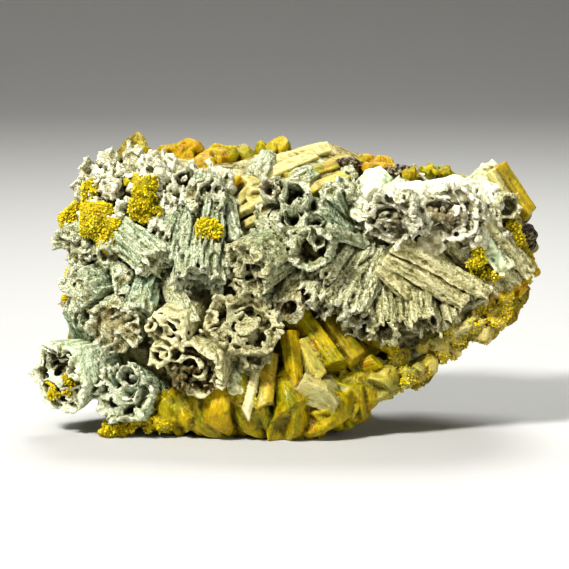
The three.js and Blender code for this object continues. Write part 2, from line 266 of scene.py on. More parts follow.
def mesh_of(field, name, adaptivity=0.1):
    """Turns a field into a closed mesh piece in metres, with its zones as point colours."""
    z = field.everywhere()[3]
    field.distance = np.maximum(field.distance, -z)
    band = 3 * field.step
    grid = openvdb.FloatGrid(band)
    edge = np.clip(field.distance, -band, band)
    for axis in range(3):
        for end in (0, -1):
            edge[tuple(end if i == axis else slice(None) for i in range(3))] = band
    grid.copyFromArray(edge)
    points, triangles, quads = grid.convertToPolygons(0.0, adaptivity)
    faces = np.vstack([triangles, quads[:, :3], quads[:, [0, 2, 3]]]).astype(np.int64)
    points, faces = loose_ends_removed(points.astype(np.float64), faces)
    mesh = bpy.data.meshes.new(name)
    place = (field.low + points * field.step) / 1000
    place[:, 2] = np.maximum(place[:, 2], 0)
    mesh.vertices.add(len(points))
    mesh.vertices.foreach_set("co", place.astype(np.float32).ravel())
    mesh.loops.add(faces.size)
    mesh.loops.foreach_set("vertex_index", faces.astype(np.int32).ravel())
    mesh.polygons.add(len(faces))
    mesh.polygons.foreach_set("loop_start", np.arange(0, faces.size, 3, dtype=np.int32))
    mesh.update(calc_edges=True)
    mesh.validate()

    nearest = tuple(np.clip(np.round(points).astype(int), 0, np.array(field.shape) - 1).T)
    near, wide = (
        smoothed(np.clip(field.distance, -depth, depth), round(reach / field.step))[nearest]
        for reach, depth in (NEAR, WIDE)
    )
    zone = dict(zip(ZONES, field.zones[nearest].T / 255))
    # Painted shade and highlight: creases found close round each point and crevices found wider round it are
    # marked to be darkened, and raised ridges to be lightened.
    layers = {
        "zones_a": (zone["hollow"], zone["rim"], np.clip(-near / GROOVE_SHADE_DEPTH, 0, 1)),
        "zones_b": (zone["teal"], zone["yellow"], zone["orange"]),
        "zones_c": (zone["limonite"], zone["cream"], np.clip(-wide / CREVICE_SHADE_DEPTH, 0, 1)),
        "zones_d": (zone["smooth"], np.clip(near / RIDGE_HIGHLIGHT_HEIGHT, 0, 1), zone["druse"]),
    }
    for key, values in layers.items():
        colours = np.column_stack([*values, np.ones(len(points))]).astype(np.float32)
        layer = mesh.attributes.new(key, "FLOAT_COLOR", "POINT")
        layer.data.foreach_set("color", colours.ravel())
    fibres = np.array(field.fibres)[field.grown_by[nearest]]
    fibres = np.einsum("nij,nj->ni", fibres[:, :, :3], place * 1000) + fibres[:, :, 3]
    layer = mesh.attributes.new("fibres", "FLOAT_VECTOR", "POINT")
    layer.data.foreach_set("vector", fibres.astype(np.float32).ravel())
    piece = bpy.data.objects.new(name, mesh)
    bpy.context.collection.objects.link(piece)
    return piece


def weather(field, pits=0.0, crumbling=0.06):
    """The last fine crumbling of the whole surface, and small holes eaten into it."""
    field.distance -= crumbling * field.grain
    if pits:
        holes = np.clip(field.fine * 0.6 + field.grain * 0.7 - 0.75, 0, 0.5)
        field.distance += pits * 2 * holes


def shade_of(hex_colour):
    """A display colour, written as six hexadecimal digits, as the light values that a shader takes."""
    parts = [int(hex_colour[i : i + 2], 16) / 255 for i in (0, 2, 4)]
    return tuple(p / 12.92 if p < 0.04045 else ((p + 0.055) / 1.055) ** 2.4 for p in parts)


def wired(tree, kind, sockets, **settings):
    """Adds a node, gives it its settings, and fills its sockets: with a number, or with a link."""
    node = tree.nodes.new(kind)
    for name, value in settings.items():
        setattr(node, name, value)
    for key, value in sockets.items():
        if isinstance(value, bpy.types.NodeSocket):
            tree.links.new(value, node.inputs[key])
        else:
            node.inputs[key].default_value = value
    return node


def mineral_paint(name, base, dark, light, roughness=0.85, bump=1.0, subsurface=0.0, wear_and_shade=1.0, shine=0.15):
    """The finish of all the mineral pieces. The zones grown with the mesh say where it is hollow,
    worn, teal, yellow, orange or brown, where shade is painted into grooves and crevices, and where
    a highlight is painted on ridges; fine noise breaks every zone up. light is the pale colour of its
    patches and of the painted highlight on ridges. The wear setting is how strongly sand, streaks
    and pits show, and how dark the painted shade in grooves and crevices is."""
    material, tree, shader = paint(name, shade_of(base), roughness)
    places = tree.nodes.new("ShaderNodeTexCoord").outputs["Object"]

    def noise(size, detail, low, high, source=None):
        """Spots of a size in mm. From low to high, the noise goes from none of a spot to all of it."""
        spots = {"Vector": source or places, "Scale": (1 if source else 1000) / size, "Detail": detail}
        spots = wired(tree, "ShaderNodeTexNoise", spots).outputs["Fac"]
        span = {"Value": spots, "From Min": low, "From Max": high}
        return wired(tree, "ShaderNodeMapRange", span).outputs["Result"]

    def sums(kind, a, b):
        return wired(tree, "ShaderNodeMath", {0: a, 1: b}, operation=kind, use_clamp=True).outputs["Value"]

    def times(*shares):
        total = shares[0]
        for share in shares[1:]:
            total = sums("MULTIPLY", total, share)
        return total

    def mixed(share, below, above, kind="MIX"):
        """A share of one colour laid over another. The sockets 6, 7 and 2 are those for colours."""
        below, above = ((*shade_of(c), 1) if isinstance(c, str) else c for c in (below, above))
        sockets = {"Factor": share, 6: below, 7: above}
        return wired(tree, "ShaderNodeMix", sockets, data_type="RGBA", blend_type=kind).outputs[2]

    zone = {}
    for layer, names in {
        "zones_a": ("hollow", "rim", "groove_shade"), "zones_b": ("teal", "yellow", "orange"),
        "zones_c": ("limonite", "cream", "crevice_shade"), "zones_d": ("smooth", "ridge"),
    }.items():
        held = wired(tree, "ShaderNodeAttribute", {}, attribute_name=layer).outputs["Color"]
        zone.update(zip(names, wired(tree, "ShaderNodeSeparateColor", {"Color": held}).outputs))

    grain = wired(tree, "ShaderNodeAttribute", {}, attribute_name="fibres").outputs["Vector"]
    streaks, bands = noise(0.3, 2, 0.48, 0.6, grain), noise(1.3, 2, 0.4, 0.62, grain)
    patches, mottle, specks = noise(6, 3, 0.38, 0.66), noise(1.4, 4, 0.35, 0.68), noise(0.5, 3, 0.38, 0.66)
    sand = noise(0.26, 2, 0.42, 0.6)
    rough_share = sums("SUBTRACT", 1, zone["smooth"])
    coated = sums("SUBTRACT", 1, zone["yellow"])
    pits = times(noise(0.36, 2, 0.6, 0.66), rough_share, coated)
    colour = mixed(times(mottle, 0.5), base, dark)
    colour = mixed(times(patches, 0.4), colour, light)
    colour = mixed(times(zone["teal"], sums("ADD", mottle, 0.3)), colour, "93BDA8")
    colour = mixed(times(zone["cream"], sums("ADD", specks, 0.35)), colour, "DCCA8C")
    colour = mixed(times(zone["rim"], sums("ADD", specks, 0.2), 0.6), colour, "DDCB96")
    # Painted highlight: the raised ridges are lightened.
    colour = mixed(times(zone["ridge"], 0.75), colour, light)
    colour = mixed(times(sand, rough_share, 0.35 * wear_and_shade), colour, "B2B083")
    yellow = mixed(noise(3.5, 3, 0.42, 0.6), "948400", "5A6200")
    yellow = mixed(noise(2.6, 3, 0.56, 0.68), yellow, "805A00")
    # Bright yellow specks: partly the stone's own flecks, partly painted glints on its glassy faces.
    yellow = mixed(times(specks, 0.2), yellow, "DCC80A")
    yellow = mixed(times(streaks, 0.3), yellow, "D6C818")
    colour = mixed(times(zone["yellow"], sums("ADD", specks, 0.95)), colour, yellow)
    colour = mixed(times(zone["orange"], sums("ADD", mottle, 0.3), 0.7), colour, "CF8A00")
    brown = mixed(specks, "756024", "33270A")
    colour = mixed(times(zone["hollow"], sums("ADD", mottle, 0.35)), colour, brown)
    colour = mixed(times(zone["limonite"], sums("ADD", specks, 0.5)), colour, "2A120A")
    colour = mixed(times(streaks, rough_share, coated, 0.45 * wear_and_shade), colour, "B3AC78", "MULTIPLY")
    colour = mixed(times(bands, rough_share, coated, 0.2), colour, "A9A872", "MULTIPLY")
    colour = mixed(times(pits, 0.7 * wear_and_shade), colour, "75672A", "MULTIPLY")
    # Painted shade: the creases and crevices of the shape are darkened.
    colour = mixed(times(zone["groove_shade"], 0.5 + 0.35 * wear_and_shade), colour, "857A40", "MULTIPLY")
    colour = mixed(times(zone["crevice_shade"], 0.5 + 0.4 * wear_and_shade), colour, "6A5E26", "MULTIPLY")
    tree.links.new(colour, shader.inputs["Base Color"])

    height = sums("ADD", times(specks, 0.25, rough_share), times(sand, 0.45, rough_share))
    height = sums("ADD", height, times(sums("SUBTRACT", 1, streaks), 0.5, rough_share, coated))
    height = sums("SUBTRACT", height, times(pits, 0.8))
    bumps = wired(tree, "ShaderNodeBump", {"Height": height, "Strength": bump, "Distance": 0.0004})
    tree.links.new(bumps.outputs["Normal"], shader.inputs["Normal"])
    gloss = times(zone["yellow"], 0.35)
    tree.links.new(sums("SUBTRACT", roughness, gloss), shader.inputs["Roughness"])
    shader.inputs["Subsurface Weight"].default_value = subsurface
    shader.inputs["Specular IOR Level"].default_value = shine
    shader.inputs["Subsurface Radius"].default_value = (1.0, 0.8, 0.25)
    shader.inputs["Subsurface Scale"].default_value = 0.0012
    return material


pyromorphite_paint = mineral_paint("pyromorphite", "C2C08A", "7A7A3E", "ECE8C0", 0.65, 0.5, 0.3, shine=0.25)


def hand_over(piece):
    """Every piece stands for a part of the one solid: it is attached to the root, and the solid's own part is
    hidden.
    """
    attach(piece, "root")
    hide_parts("crystal_cluster")
    return piece


def finish_piece(piece, material):
    piece.data.materials.append(material)
    piece.data.polygons.foreach_set("use_smooth", np.ones(len(piece.data.polygons), bool))
    return hand_over(piece)


body = Field((-34, -9, -1), (39, 22, 46), BODY_STEP, seed=1)
where, x, y, z = body.everywhere()
grown = body_distance(x, y, z) - 0.9 * body.noise(6, 9) - 0.5 * body.coarse - 0.25 * body.fine
patchy = np.clip(body.noise(9, 10) * 1.6 + 0.3, 0, 1)
behind = np.clip((y + 3) / 4, 0, 1)
body.join(where, grown.astype(np.float32), {
    "yellow": 0.9 * patchy * behind,
    "orange": np.clip(body.noise(7, 11), 0, 0.6) * behind,
    "hollow": np.broadcast_to(0.45 * (1 - behind), grown.shape),
})
weather(body)
finish_piece(mesh_of(body, "yellow_green_body", adaptivity=0.03), pyromorphite_paint)

# ---- Left crystals -----------------------------------------------------------------------------
# Barrel crystals of pyromorphite under a blue-green coat of plumbogummite. The lower ones lean out
# to the left and are eaten hollow; the ones above are split into ragged flutes. Short crystals fill
# the ground between them, here and in the groups that follow.

STEP = 0.2
SET_IN = 1.5
BODY_MIDDLE = np.array([2.0, 4.0, 22.0])
SHORT_LENGTH = 6.5
EDGE_LEAN = (0.04, 0, 0.06)  # how far the short crystals lean out at the body's edge, per mm from its middle
MAZE_SLOPE = 0.75  # how fast the noise of the winding walls changes, per mm
LEAF_GAP = 1.7  # mm between the walls that follow the rim
GRAIN_DRAWN_OUT, LUMP_GRAIN = 0.1, 0.16  # how much slower colour changes along the grain than across
BEND = 0.38  # mm that a crystal strays from straight
STEPS_ALONG, STEPS_ROUND = 64, 256  # places in the table of a crystal's grooves and pits
GROOVE_WIDTH, INNER_CRUMBS, RIM_ROUND = 0.75, 0.35, 0.25  # mm
FLARE = 0.08  # share of its radius by which a crystal widens at its rim
FLARE_LENGTH, TORN_LENGTH, RIM_BAND = 1.3, 1.1, 0.9  # mm from the rim in which it widens, is torn, is stained
LUMP_FACES = 10
TEAL = {"teal": 0.7}
SMOOTH = dict(crust=0.07, stria=0.05, pits=0.05, zones={"smooth": 1, "teal": 0.15},
              inside={"smooth": 0, "cream": 0.5})
SHORT = dict(ragged=0.9, stria=0.2, crust=0.08, pits=0.2)
FLUTED = dict(ragged=1.3, stria=0.2, pits=0.15, crust=0.07)
PIPE = dict(walled=False, ragged=0.5)
green_crust = mineral_paint("green crust", "CFE0BA", "A6BE90", "F8FAE4")


def grow_lump(field, place, radius, seed, zones, squash=(1, 1, 1), rough=0.12, grain=None, ball=1.15):
    """A crystal seen as a lump: flat faces at odd angles, cut from a ball. grain is the direction of
    its fibres, and squash its stretch in x, y and z."""
    rng = np.random.default_rng(seed)
    place = np.array(place, float)
    reach = radius * max(1.25, ball) + 1
    where, x, y, z = field.part(place - reach, place + reach)
    x, y, z = (x - place[0]) / squash[0], (y - place[1]) / squash[1], (z - place[2]) / squash[2]
    distance = np.sqrt(x * x + y * y + z * z) - radius * ball
    for direction in rng.normal(size=(LUMP_FACES, 3)):
        nx, ny, nz = direction / np.linalg.norm(direction)
        distance = np.maximum(distance, x * nx + y * ny + z * nz - radius * rng.uniform(0.6, 0.95))
    distance = distance * min(squash) - rough * (field.coarse[where] + 0.7 * field.fine[where])
    across = rng.normal(size=(3, 3))
    if grain is not None:
        across[:, 0] = grain
    turn = np.linalg.qr(across)[0].T * [[LUMP_GRAIN], [1], [1]]
    fibres = np.column_stack([turn, 50 * (seed % 37) - turn @ place])
    field.join(where, distance.astype(np.float32), zones, fibres)


def round_crystal(field, tip, root, reach, beside):
    """The cubes round a crystal, its length, its three directions (the first from root to tip, the
    second square to beside), and how far each cube lies along them."""
    tip, root = np.array(tip, float), np.array(root, float)
    along = tip - root
    length = np.linalg.norm(along)
    along /= length
    side = np.cross(along, beside)
    side /= np.linalg.norm(side)
    directions = along, side, np.cross(along, side)
    where, x, y, z = field.part(np.minimum(tip, root) - reach, np.maximum(tip, root) + reach)
    x, y, z = x - root[0], y - root[1], z - root[2]
    return where, length, directions, [x * d[0] + y * d[1] + z * d[2] for d in directions]


def fibres_along(directions, root, seed):
    """The turn and shift for grain that runs along a crystal: drawn out that way, and never alike."""
    along, side, third = directions
    turn = np.array([side, third, along * GRAIN_DRAWN_OUT])
    return np.column_stack([turn, 50 * (seed % 37) - turn @ root])


def grow_crystal(field, tip, root, radius, seed, hollow=0.0, walled=True, wall=0.75, septum=0.45,
                 cross=0.2, ragged=0.5, stria=0.12, pits=0.3, crust=0.11, facets=0.7, bulge=0.06,
                 oval=(1, 1), drop=0.5, crumbly=False, zones={}, inside={}):
    """One crystal from its root to its tip, coated and eaten away: six faces with grooves (stria) and
    pits along them, a ragged rim, and a hollow end with thin winding walls (septum) across it, which
    end a little below the rim (drop). radius is at the tip and at the root. Sizes are in mm."""
    rng = np.random.default_rng(seed)
    reach = max(radius) * max(oval) * 1.25 + 1.4
    where, length, directions, (t, u, v) = round_crystal(field, tip, root, reach, (0.31, 0.2, 0.93))
    coarse, fine, grain, flake = (
        values[where] for values in (field.coarse, field.fine, field.grain, field.flake)
    )
    u, v = ((axis + BEND * bend[where]) / wide for axis, bend, wide in zip((u, v), field.bend, oval))
    r = np.hypot(u, v)
    angle = np.arctan2(v, u)
    turn = (angle * (STEPS_ROUND / (2 * math.pi))).astype(np.int16) % STEPS_ROUND
    step = np.clip(t * (STEPS_ALONG / length), 0, STEPS_ALONG - 1).astype(np.int16)

    share = np.clip(t / length, -0.3, 1.15)
    taper = radius[1] + (radius[0] - radius[1]) * share + bulge * radius[0] * 4 * share * (1 - share)
    taper = taper + FLARE * radius[0] * np.exp(np.minimum(t - length, 0) / FLARE_LENGTH)
    sector = np.mod(angle + rng.uniform(0, math.pi), math.pi / 3) - math.pi / 6
    across = r + (r * np.cos(sector) / 0.9 - r) * facets

    def wrapped(count, along_count, rows=STEPS_ALONG):
        """Noise on the crystal's skin, in count lumps round it and along_count along it."""
        table = rng.uniform(-1, 1, (along_count, count))
        places = np.linspace(0, along_count - 1.001, rows)
        low = places.astype(int)
        f = (places - low)[:, None]
        f = f * f * (3 - 2 * f)
        table = table[low] * (1 - f) + table[np.minimum(low + 1, along_count - 1)] * f
        places = np.arange(STEPS_ROUND) * count / STEPS_ROUND
        low = places.astype(int)
        f = places - low
        f = f * f * (3 - 2 * f)
        return (table[:, low] * (1 - f) + table[:, (low + 1) % count] * f).astype(np.float32)

    rounds = max(8, int(2 * math.pi * radius[0] / GROOVE_WIDTH))
    grooves = stria * (wrapped(rounds * 2, 4) + 0.8 * wrapped(rounds, 3))
    pitted = wrapped(int(rounds * 1.6), max(4, int(length / 1.1)))
    grooves -= pits * np.clip(pitted - 0.35, 0, 0.4) / 0.4
    edge = 0.45 * wrapped(rounds, 2, rows=1)[0] + 0.75 * wrapped(rounds * 2, 2, rows=1)[0]
    outward = np.clip(2.2 * r / taper - 1.2, 0, 1)
    top = length + ragged * (edge[turn] * outward + 0.4 * coarse + 0.45 * fine + 0.3 * flake)
    top = top + 0.3 * grain
    torn = np.exp(-np.abs(t - top) / TORN_LENGTH)
    rough = crust * (fine + 0.5 * grain + 0.5 * coarse)
    rough = rough + torn * (0.3 * np.maximum(flake, -0.3) + 0.25 * grain)
    outer = (across - taper - grooves[step, turn]) * 0.88 - rough
    ends = t - top
    distance = np.maximum(outer, ends) + RIM_ROUND * np.exp(-np.abs(outer - ends) / RIM_ROUND)
    distance = np.maximum(distance, -t - 0.5)
    depth = np.zeros_like(distance)
    if hollow > 0:
        thick = wall * (1 + 0.35 * coarse + 0.25 * fine)
        inner = taper * np.clip(1 - 0.35 * (top - t) / (hollow + 1), 0.5, 1) - thick
        bottom = length - hollow + field.bend[0][where] - t
        cavity = np.maximum(across - inner, bottom - 0.5 * fine - 0.5 * flake)
        if walled:
            leaves = np.abs(np.mod(r / LEAF_GAP + 0.9 * coarse, 1) - 0.5) * LEAF_GAP
            leaves = np.minimum(leaves, np.abs(field.maze[where]) / MAZE_SLOPE + cross)
            if crumbly:
                leaves = np.minimum(leaves, field.sheet[where] / MAZE_SLOPE + 0.2)
            partition = leaves - septum * (0.85 + 0.3 * fine)
            walls = np.maximum(partition, t - top + drop * (1 + 1.4 * coarse))
            cavity = np.maximum(cavity, -walls)
        cavity = cavity + INNER_CRUMBS * flake
        distance = np.maximum(distance, -cavity)
        depth = np.clip((top - t) / hollow, 0, 1) * (across < inner + 0.35)
    shades = {"rim": np.exp(-np.abs(ends) / RIM_BAND), "hollow": depth, **zones}
    for zone, value in inside.items():
        shades[zone] = np.where(depth > 0.25, value, shades.get(zone, 0))
    field.join(where, distance.astype(np.float32), shades, fibres_along(directions, root, seed))


def grow_crystals(field, crystals):
    """Several crystals, each given as its tip, its root, its radius at both, and its look."""
    for number, (tip, root, radius, look) in enumerate(crystals):
        grow_crystal(field, tip, root, radius, 100 * field.seed + number, **look)


def set_and_finish(field, name, finish, pits=0.0, crumbling=0.06):
    """Weathers what has grown, cuts away what stands deeper in the body than SET_IN, so that the
    piece has no buried bulk, and makes the piece."""
    weather(field, pits, crumbling)
    body_here = body_distance(*field.everywhere()[1:], inset=SET_IN)
    field.distance = np.maximum(field.distance, -body_here)
    return finish_piece(mesh_of(field, name), finish)


def fill_gaps(field, low, high, lean=(-0.5, -0.7), spacing=3.2, size=(1.1, 1.8), fan=0.5, out=-8.8,
              slope=0.0, **look):
    """Short crystals on the open ground of the body's front, between two corners given as (x, z).
    Near the body's edge they stand further back, as its surface does, and lean outwards. look is
    what they have apart from the look of all short crystals."""
    rng = np.random.default_rng(field.seed * 7)
    for z in np.arange(low[1], high[1], spacing):
        for x in np.arange(low[0], high[0], spacing):
            shift, turn = rng.uniform(-0.45, 0.45, 2) * spacing, rng.uniform(-fan, fan, 2)
            depth, radius, seed = rng.uniform(-1, 0.8), rng.uniform(*size), int(rng.integers(1e6))
            spot = np.array([x + shift[0], BODY_MIDDLE[1], z + shift[1]])
            to_edge = float(body_distance(*spot.astype(np.float32).reshape(3, 1, 1, 1))[0, 0, 0])
            bent = max(0.0, EDGE_ROUND + to_edge)
            if to_edge > -0.2 or z < low[1] + slope * (x - low[0]):
                continue
            back = EDGE_ROUND - math.sqrt(EDGE_ROUND**2 - bent**2)
            outward = (spot - BODY_MIDDLE) * bent / EDGE_ROUND * EDGE_LEAN
            toward = np.array([lean[0] + turn[0], -1, lean[1] + turn[1]]) + outward
            toward /= np.linalg.norm(toward)
            tip = spot + (0, out + depth + back - BODY_MIDDLE[1], 0) + outward
            if field.at(tip) < 0.5 * radius:
                continue
            sizes = radius, 0.95 * radius
            grow_crystal(field, tip, tip - SHORT_LENGTH * toward, sizes, seed, **{**SHORT, **look})


def scatter_lumps(field, middle, spread, count, size, zones):
    """Crumbs of mineral around one place."""
    rng = np.random.default_rng(int(1000 + 10 * abs(middle[0]) + abs(middle[2])))
    for number in range(count):
        spot = np.array(middle) + rng.uniform(-1, 1, 3) * spread
        grow_lump(field, spot, size * rng.uniform(0.6, 1.3), 3000 + number, zones, rough=0.2)


def grow_piece(name, low, high, seed, crystals, crumbs=(), gaps=(), finish=green_crust):
    """A closed mesh piece from the crystals that stand together between two corners."""
    field = Field(low, high, STEP, seed)
    grow_crystals(field, crystals)
    for heap in crumbs:
        scatter_lumps(field, *heap)
    for filling in gaps:
        fill_gaps(field, **filling)
    return set_and_finish(field, name, finish, pits=0.25)


left_piece = grow_piece("lower_left_crystals", (-39, -19, -1), (-8, 6, 25), 2, [
    ((-33.5, -10, 8.5), (-22.5, 2, 11.5), (5.3, 2.6),
     dict(SMOOTH, hollow=2.5, drop=0.6, ragged=0.8, stria=0.12, wall=0.7,
          zones={"smooth": 0.6, "teal": 0.2})),
    ((-31.5, -5, 18.5), (-28.5, 1, 11), (1.5, 2.8), dict(zones={"teal": 0.9}, stria=0.25, ragged=0.8)),
    ((-30, -9, 17.5), (-28.5, -5, 14), (0.7, 1.2), dict(ragged=0.4)),
    ((-25, -13, 16.5), (-20, 1, 20.5), (4.1, 3),
     dict(hollow=0.9, septum=0.5, wall=0.6, crumbly=True, inside={"cream": 1, "hollow": 0.35},
          zones={"teal": 0.2, "cream": 0.3})),
    ((-24, -13, 7), (-18, 1, 4), (4.4, 3.2),
     dict(hollow=3.5, septum=0.5, ragged=1.2, zones={"smooth": 0.4, "teal": 0.4})),
    ((-23, -14.5, 10), (-20, -5, 5.5), (1.7, 1.5), dict(PIPE, hollow=3, wall=0.5, zones=TEAL)),
    ((-25.5, -13, 11), (-23.5, -8, 6.5), (0.7, 1.3), dict(ragged=0.6, zones=TEAL)),
], crumbs=[
    ((-34.3, -8.3, 6.6), (1, 0.8, 1.2), 10, 0.6, {"yellow": 1, "orange": 0.2, "druse": 1}),
    ((-31.2, -8.6, 7.4), (1.5, 0.8, 1.2), 16, 0.7, {"yellow": 1, "orange": 0.3, "druse": 1}),
    ((-24.5, -10.5, 1), (2.2, 1, 1), 14, 0.9, {"yellow": 1, "orange": 0.3, "druse": 0.6}),
], gaps=[dict(low=(-31, 3), high=(-14, 19), lean=(-0.8, -0.4), size=(1.1, 1.9), zones={"teal": 0.4})])
grow_piece("left_middle_crystals", (-37, -18, 14), (-10, 5, 34), 13, [
    ((-21.5, -14, 19), (-19, -7, 27), (2.4, 1.6), dict(FLUTED, zones={"teal": 0.8})),
    ((-23.8, -12.2, 21.3), (-20.5, -7, 26.5), (1, 1.1), dict(PIPE, hollow=3, wall=0.4, zones={"teal": 1})),
    ((-14, -15, 17.2), (-18.5, -7.5, 26), (2, 1.6), dict(FLUTED, zones={"cream": 0.4})),
    ((-18.3, -13.5, 26.3), (-27, -5.5, 32.5), (3.1, 2.2), dict(FLUTED, zones={"teal": 0.4})),
    ((-23.4, -12, 23), (-25, -6, 29), (1.6, 1.5), FLUTED),
    ((-26, -11.5, 26.8), (-23.5, -4, 32.5), (2.7, 2.5), FLUTED),
    ((-31.2, -9, 27.8), (-24, -1, 30.5), (3, 2.6), FLUTED),
    ((-31, -10.5, 22.4), (-22.5, -3, 23), (3.6, 3), dict(FLUTED, zones={"teal": 0.5})),
], gaps=[dict(low=(-31, 19), high=(-12, 31), lean=(-0.6, -0.6), spacing=3, zones={"teal": 0.4})])

# ---- Double ring -------------------------------------------------------------------------------
# Two crystals grown into one, whose ends are eaten out into thick rings of beige plumbogummite. A
# brown, crumbly filling is left in the lower one, and a smooth pointed crystal stands beside it.

beige_crust = mineral_paint("beige crust", "ADB182", "828450", "F2EFC8")
RING = dict(crust=0.08, stria=0.06, pits=0.1, cross=0.45, zones={"cream": 0.3, "smooth": 0.5})
SMALL_RING = dict(RING, walled=False, hollow=2, ragged=0.4)
grow_piece("double_ring", (-24, -21, 3), (-4, 4, 26), 3, [
    ((-17.5, -17, 16.2), (-11, -4, 20.5), (3.3, 2.8), dict(RING, hollow=3.5, wall=0.8, ragged=0.5)),
    ((-13.6, -17, 10.8), (-8.5, -3, 16.5), (4.7, 3.6),
     dict(RING, hollow=2, cross=0.8, drop=1.2, wall=0.9, ragged=0.7, oval=(1.05, 0.9),
          inside={"hollow": 0.9, "smooth": 0})),
    ((-18.5, -17.5, 13), (-15, -4, 12.5), (1.7, 1.4), dict(SMALL_RING, wall=0.6)),
    ((-13, -16, 15), (-12, -5, 16.5), (1.6, 1.6), dict(SMALL_RING, wall=0.5)),
    ((-7, -15.3, 6.6), (-10.5, -7, 18), (1.2, 2.8), SMOOTH),
], crumbs=[((-13.2, -16, 10), (3.2, 0.5, 2), 80, 0.5, {"hollow": 1, "orange": 0.35})], finish=beige_crust)

# ---- Cellular end and pitted barrel ------------------------------------------------------------
# The widest crystal, whose end is a maze of thin walls, and above it a barrel full of small pits.
# The pyromorphite inside both has been eaten away, and the coat and its walls have stayed.

grow_piece("cellular_crystals", (-15, -21, -1), (6, 4, 34), 4, [
    ((-6, -17, 17.9), (-8.5, -3, 9), (5.2, 3.2),
     dict(hollow=3, wall=0.7, ragged=0.8, drop=0.7, crust=0.06, stria=0.06, pits=0.05, oval=(1.1, 0.9),
          zones={"smooth": 0.2, "cream": 0.3, "hollow": 0.1})),
    ((-4.5, -17, 13), (-6, -6, 8), (2, 1.6),
     dict(hollow=1, crust=0.1, wall=0.5, crumbly=True, zones={"hollow": 0.2})),
    ((-6, -16.5, 25.6), (1, -8, 29), (4.3, 3.5),
     dict(hollow=1.6, septum=0.55, ragged=0.9, stria=0.1, pits=0.45, facets=0.4, zones={"teal": 0.35})),
    ((-3.5, -13, 20), (-2.5, -7, 24.5), (2, 2), dict(stria=0.15, zones={"teal": 0.4})),
    ((-5, -12.5, 5.5), (-4, -8, 10.5), (0.9, 1.4), dict(facets=1, crust=0.08, zones={"cream": 0.6})),
], gaps=[dict(low=(-14, 6), high=(4, 31))], finish=beige_crust)

# ---- Crystal that bears the yellow druse -------------------------------------------------------
# An upright crystal of plumbogummite split into long pale ridges, which stand side by side on one
# root. A lump of young yellow pyromorphite sits in its middle.

CREAM = {"cream": 1}
RIDGE = dict(FLUTED, zones={"teal": 0.4, "hollow": 0.12})
bearer = Field((-21, -18, 18), (-4, 4, 42), STEP, 5)
grow_crystals(bearer, [
    ((-11.5, -12, 36.5), (-10.5, 1, 28.5), (3.1, 3.2), dict(hollow=1.8, ragged=1.2, inside=CREAM)),
    ((-12.5, -14.6, 23.8), (-11, -7, 37.5), (3.9, 2.6),
     dict(hollow=1.5, ragged=1.4, stria=0.5, pits=0.5, crust=0.16, zones={"teal": 0.4, "hollow": 0.15})),
    ((-16.2, -13.4, 26), (-13, -6, 37.5), (1.7, 1.3), RIDGE),
    ((-17.4, -12, 30), (-13.5, -4, 37.5), (1.3, 1.3), RIDGE),
    ((-14.6, -15.2, 25.5), (-12.5, -8, 36.5), (1.2, 1.1), RIDGE),
    ((-8.4, -14.2, 24.6), (-10, -6, 35.5), (1.7, 1.5), RIDGE),
    ((-6.8, -12.8, 29), (-9.5, -6, 36.5), (1.3, 1.3), RIDGE),
    ((-10, -15.6, 27), (-10.3, -8, 35.5), (1, 1.1), RIDGE),
])
YOUNG_LUMP = {"yellow": 1, "hollow": 0.2, "druse": 1}
grow_lump(bearer, (-11.3, -13.9, 30.5), 1.7, 510, YOUNG_LUMP, (1.1, 0.8, 1.3), 0.4)
bearer_piece = set_and_finish(bearer, "druse_bearer", green_crust, pits=0.5)

# ---- Rosette, deep cup and ragged mouth --------------------------------------------------------
# Round hollow crystals whose coats have outlived them, facing straight out like cups, and below them
# a wide ragged mouth of blades that stand side by side.

BLADE = dict(hollow=0.7, walled=False, wall=0.5, ragged=1.2, stria=0.2, pits=0.3, zones={"cream": 0.5})
CUP = dict(walled=False, hollow=3, wall=0.5, ragged=0.3)
STRAY = np.array([0.8, -0.7, 0.6])  # mm that a prism's tip strays from its row


def side_by_side(tips, roots, count, radius, look):
    """Prisms laid next to each other, from the first tip and root to the last, a little unevenly."""
    rows = []
    for share in np.linspace(0, 1, count):
        tip, root = (np.array(a) * (1 - share) + np.array(b) * share for a, b in (tips, roots))
        rows.append((tip + math.sin(17 * share + 3 * tips[0][0]) * STRAY, root, radius, look))
    return rows


